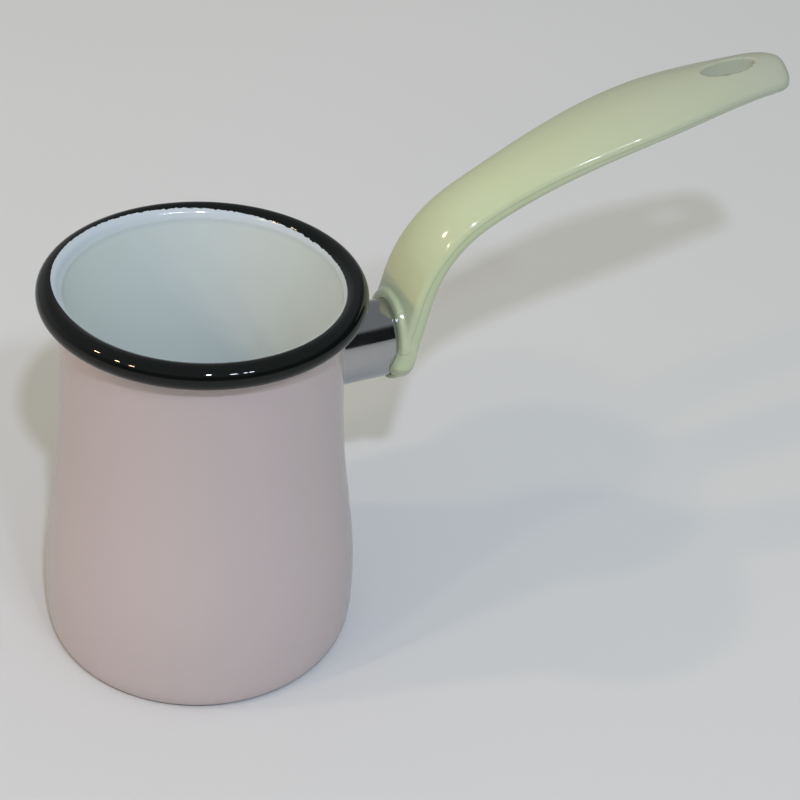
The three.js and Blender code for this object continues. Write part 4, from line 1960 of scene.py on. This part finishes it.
@dataclass
class Studio:
    """The floor, the room's light, the lamps and the camera.

    The camera's place and the floor's level are in millimetres, and the floor's reach is in metres.
    """

    lamps: tuple[Lamp, ...] = (
        Lamp("front_lamp", -113.0, 47.7, 2.4, 0.36, BLUISH, distance=0.559, even=True),
        Lamp("warm_lamp_a", -176.0, 40.0, 3.0, 0.11, WARM),
        Lamp("warm_lamp_b", -163.0, 38.0, 3.0, 0.075, WARM),
        Lamp("warm_lamp_c", 164.0, 42.0, 3.0, 0.11, WARM),
        Lamp("cool_lamp_a", -90.0, 46.0, 4.5, 0.10, COOL),
        Lamp("cool_lamp_b", -81.0, 46.0, 2.4, 0.05, COOL),
        Lamp("cool_lamp_c", -76.0, 46.0, 2.4, 0.05, COOL),
    )
    sky_colours: tuple[Colour, Colour] = ((0.385, 0.412, 0.394), (0.473, 0.512, 0.497))
    wall_colours: tuple[Colour, Colour] = ((0.014, 0.015, 0.016), (0.32, 0.325, 0.335))
    bright_wall: Triple = (-0.289, 0.957, 0.0)
    bright_from: float = 0.9
    ceiling_colour: Colour = (0.21, 0.22, 0.235)
    ceiling_heights: Pair = (0.42, 0.55)
    floor_reach: float = 4.0
    floor_level: float = -0.02
    focal_pixels: float = 1700.0
    image_width: float = 800.0
    sensor_width: float = 36.0
    clip_ends: Pair = (0.01, 50.0)
    axis_pixel: Pair = (400.0, 396.0)
    camera_place: Triple = (-128.990, -326.625, 321.851)
    camera_right: Triple = (0.892006, -0.445439, 0.076868)
    camera_down: Triple = (-0.202733, -0.546230, -0.812731)
    camera_forward: Triple = (0.404010, 0.709377, -0.577546)

    def build(self, groups: SurfaceGroups) -> None:
        """Sets up the whole stage.

        Args:
            groups: The shared node groups.
        """
        bpy.context.scene.view_settings.view_transform = "Standard"
        self._camera()
        self._floor(FloorCloth().material(groups))
        self._room()
        for lamp in self.lamps:
            lamp.place()
        LOG.info("stage set with %d lamps", len(self.lamps))

    def _camera(self) -> None:
        """Puts the camera where the picture was taken from."""
        data = bpy.data.cameras.new("camera")
        data.sensor_fit = "HORIZONTAL"
        data.sensor_width = self.sensor_width
        data.lens = self.focal_pixels / self.image_width * self.sensor_width
        data.shift_x = (self.image_width / 2 - self.axis_pixel[0]) / self.image_width
        data.shift_y = (self.axis_pixel[1] - self.image_width / 2) / self.image_width
        data.clip_start, data.clip_end = self.clip_ends
        made = linked("camera", data)
        right = Vector(self.camera_right)
        up = -Vector(self.camera_down)
        back = -Vector(self.camera_forward)
        turn = Matrix((right, up, back)).transposed().to_4x4()
        made.matrix_world = Matrix.Translation(Vector(self.camera_place) * MM) @ turn
        bpy.context.scene.camera = made

    def _floor(self, material: Material) -> None:
        """Lays the pale floor under the pot.

        Args:
            material: The floor's material.
        """
        reach = self.floor_reach / MM
        corners = [(-reach, -reach), (reach, -reach), (reach, reach), (-reach, reach)]
        points = np.array([(x, y, self.floor_level) for x, y in corners])
        floor = mesh_object("floor", points, [[0, 1, 2, 3]])
        floor.data.materials.append(material)

    def _room(self) -> None:
        """Lights the scene from a pale sky, where gloss sees a grey ceiling and walls dark in front."""
        world = bpy.data.worlds.new("room")
        bpy.context.scene.world = world
        world.use_nodes = True
        world.node_tree.nodes.clear()
        sheet = NodeSheet(world.node_tree)
        view = sheet.node("ShaderNodeTexCoord").outputs["Generated"]
        side = sheet.node("ShaderNodeVectorMath", {0: view, 1: self.bright_wall}, operation="DOT_PRODUCT")
        walls = sheet.node("ShaderNodeValToRGB", {"Fac": side.outputs["Value"]})
        dark, pale = walls.color_ramp.elements
        dark.color, pale.color = (rgba(colour) for colour in self.wall_colours)
        pale.position = self.bright_from
        height = sheet.node("ShaderNodeSeparateXYZ", {"Vector": view}).outputs["Z"]
        share = sheet.between(height, self.ceiling_heights)
        room = sheet.blend(share, walls.outputs["Color"], rgba(self.ceiling_colour))
        horizon, zenith = self.sky_colours
        sky = sheet.blend(height, rgba(horizon), rgba(zenith))
        seen = sheet.node("ShaderNodeBackground", {"Color": room, "Strength": 1.0})
        light = sheet.node("ShaderNodeBackground", {"Color": sky, "Strength": 1.0})
        glossy = sheet.node("ShaderNodeLightPath").outputs["Is Glossy Ray"]
        both = sheet.node("ShaderNodeMixShader", {0: glossy, 1: light.outputs[0], 2: seen.outputs[0]})
        sheet.node("ShaderNodeOutputWorld", {"Surface": both.outputs[0]})


@dataclass(frozen=True)
class Finishes:
    """Every finish of the pot."""

    pink: Enamel = Enamel("pale_pink_enamel", ((0.502, 0.43, 0.424), (0.487, 0.414, 0.413)))
    white: Enamel = Enamel(
        "cool_white_enamel",
        ((0.695, 0.755, 0.725), (0.67, 0.74, 0.715)),
        speck_share=0.035,
        speck_radius=0.022,
        edge_colour=(0.50, 0.565, 0.61),
    )
    black: Enamel = Enamel(
        "black_rim_enamel",
        ((0.0045, 0.006, 0.005), (0.003, 0.004, 0.004)),
        smooth=0.03,
        rubbed=0.06,
        gloss=0.36,
        speck_colour=(0.2, 0.21, 0.2),
        speck_radius=0.016,
        speck_share=0.03,
        wave_depth=0.00008,
    )
    ground: Enamel = Enamel(
        "dark_ground_coat",
        ((0.055, 0.045, 0.038), (0.035, 0.030, 0.027)),
        smooth=0.3,
        rubbed=0.55,
        speck_colour=(0.12, 0.10, 0.085),
        speck_share=0.3,
        speck_scale=220.0,
        speck_radius=0.12,
    )
    stainless: Metal = Metal(
        "polished_stainless",
        ((0.56, 0.565, 0.565), (0.50, 0.51, 0.52)),
        smooth=0.06,
        rubbed=0.15,
        stretch=(0.15, 1.0, 1.0),
        mark_scale=900.0,
        mark_depth=0.000006,
    )
    zinc: Metal = Metal(
        "dull_zinc_plate",
        ((0.44, 0.45, 0.46), (0.36, 0.37, 0.39)),
        smooth=0.3,
        rubbed=0.5,
        stretch=(1.0, 1.0, 1.0),
        mark_scale=500.0,
        mark_depth=0.00001,
    )
    moulding: Moulding = Moulding()


def main() -> None:
    """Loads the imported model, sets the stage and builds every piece."""
    logging.basicConfig(level=logging.INFO, format="%(name)s: %(message)s")
    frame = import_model()
    groups = SurfaceGroups()
    Studio().build(groups)
    finishes = Finishes()
    sweep = OvalSweep()
    coil = CoilSweep()

    pot = PotBody()
    pot.shell(sweep, finishes.ground.material(groups))
    pot.outside_coat(sweep, finishes.pink.material(groups))
    pot.lining(sweep, finishes.white.material(groups))
    pot.rim_coat(finishes.black.material(groups))

    fixing = HandleFixing()
    zinc = finishes.zinc.material(groups)
    fixing.ferrule(sweep, finishes.stainless.material(groups))
    fixing.screw(sweep, coil, zinc)
    fixing.washer(coil, zinc)
    boss = frame["nodes"]["weld_boss"]
    boss.data.materials.clear()
    boss.data.materials.append(zinc)
    LOG.info("weld_boss keeps its solid")

    Handle().piece(finishes.moulding, finishes.moulding.material(groups))


if __name__ == "__main__":
    main()
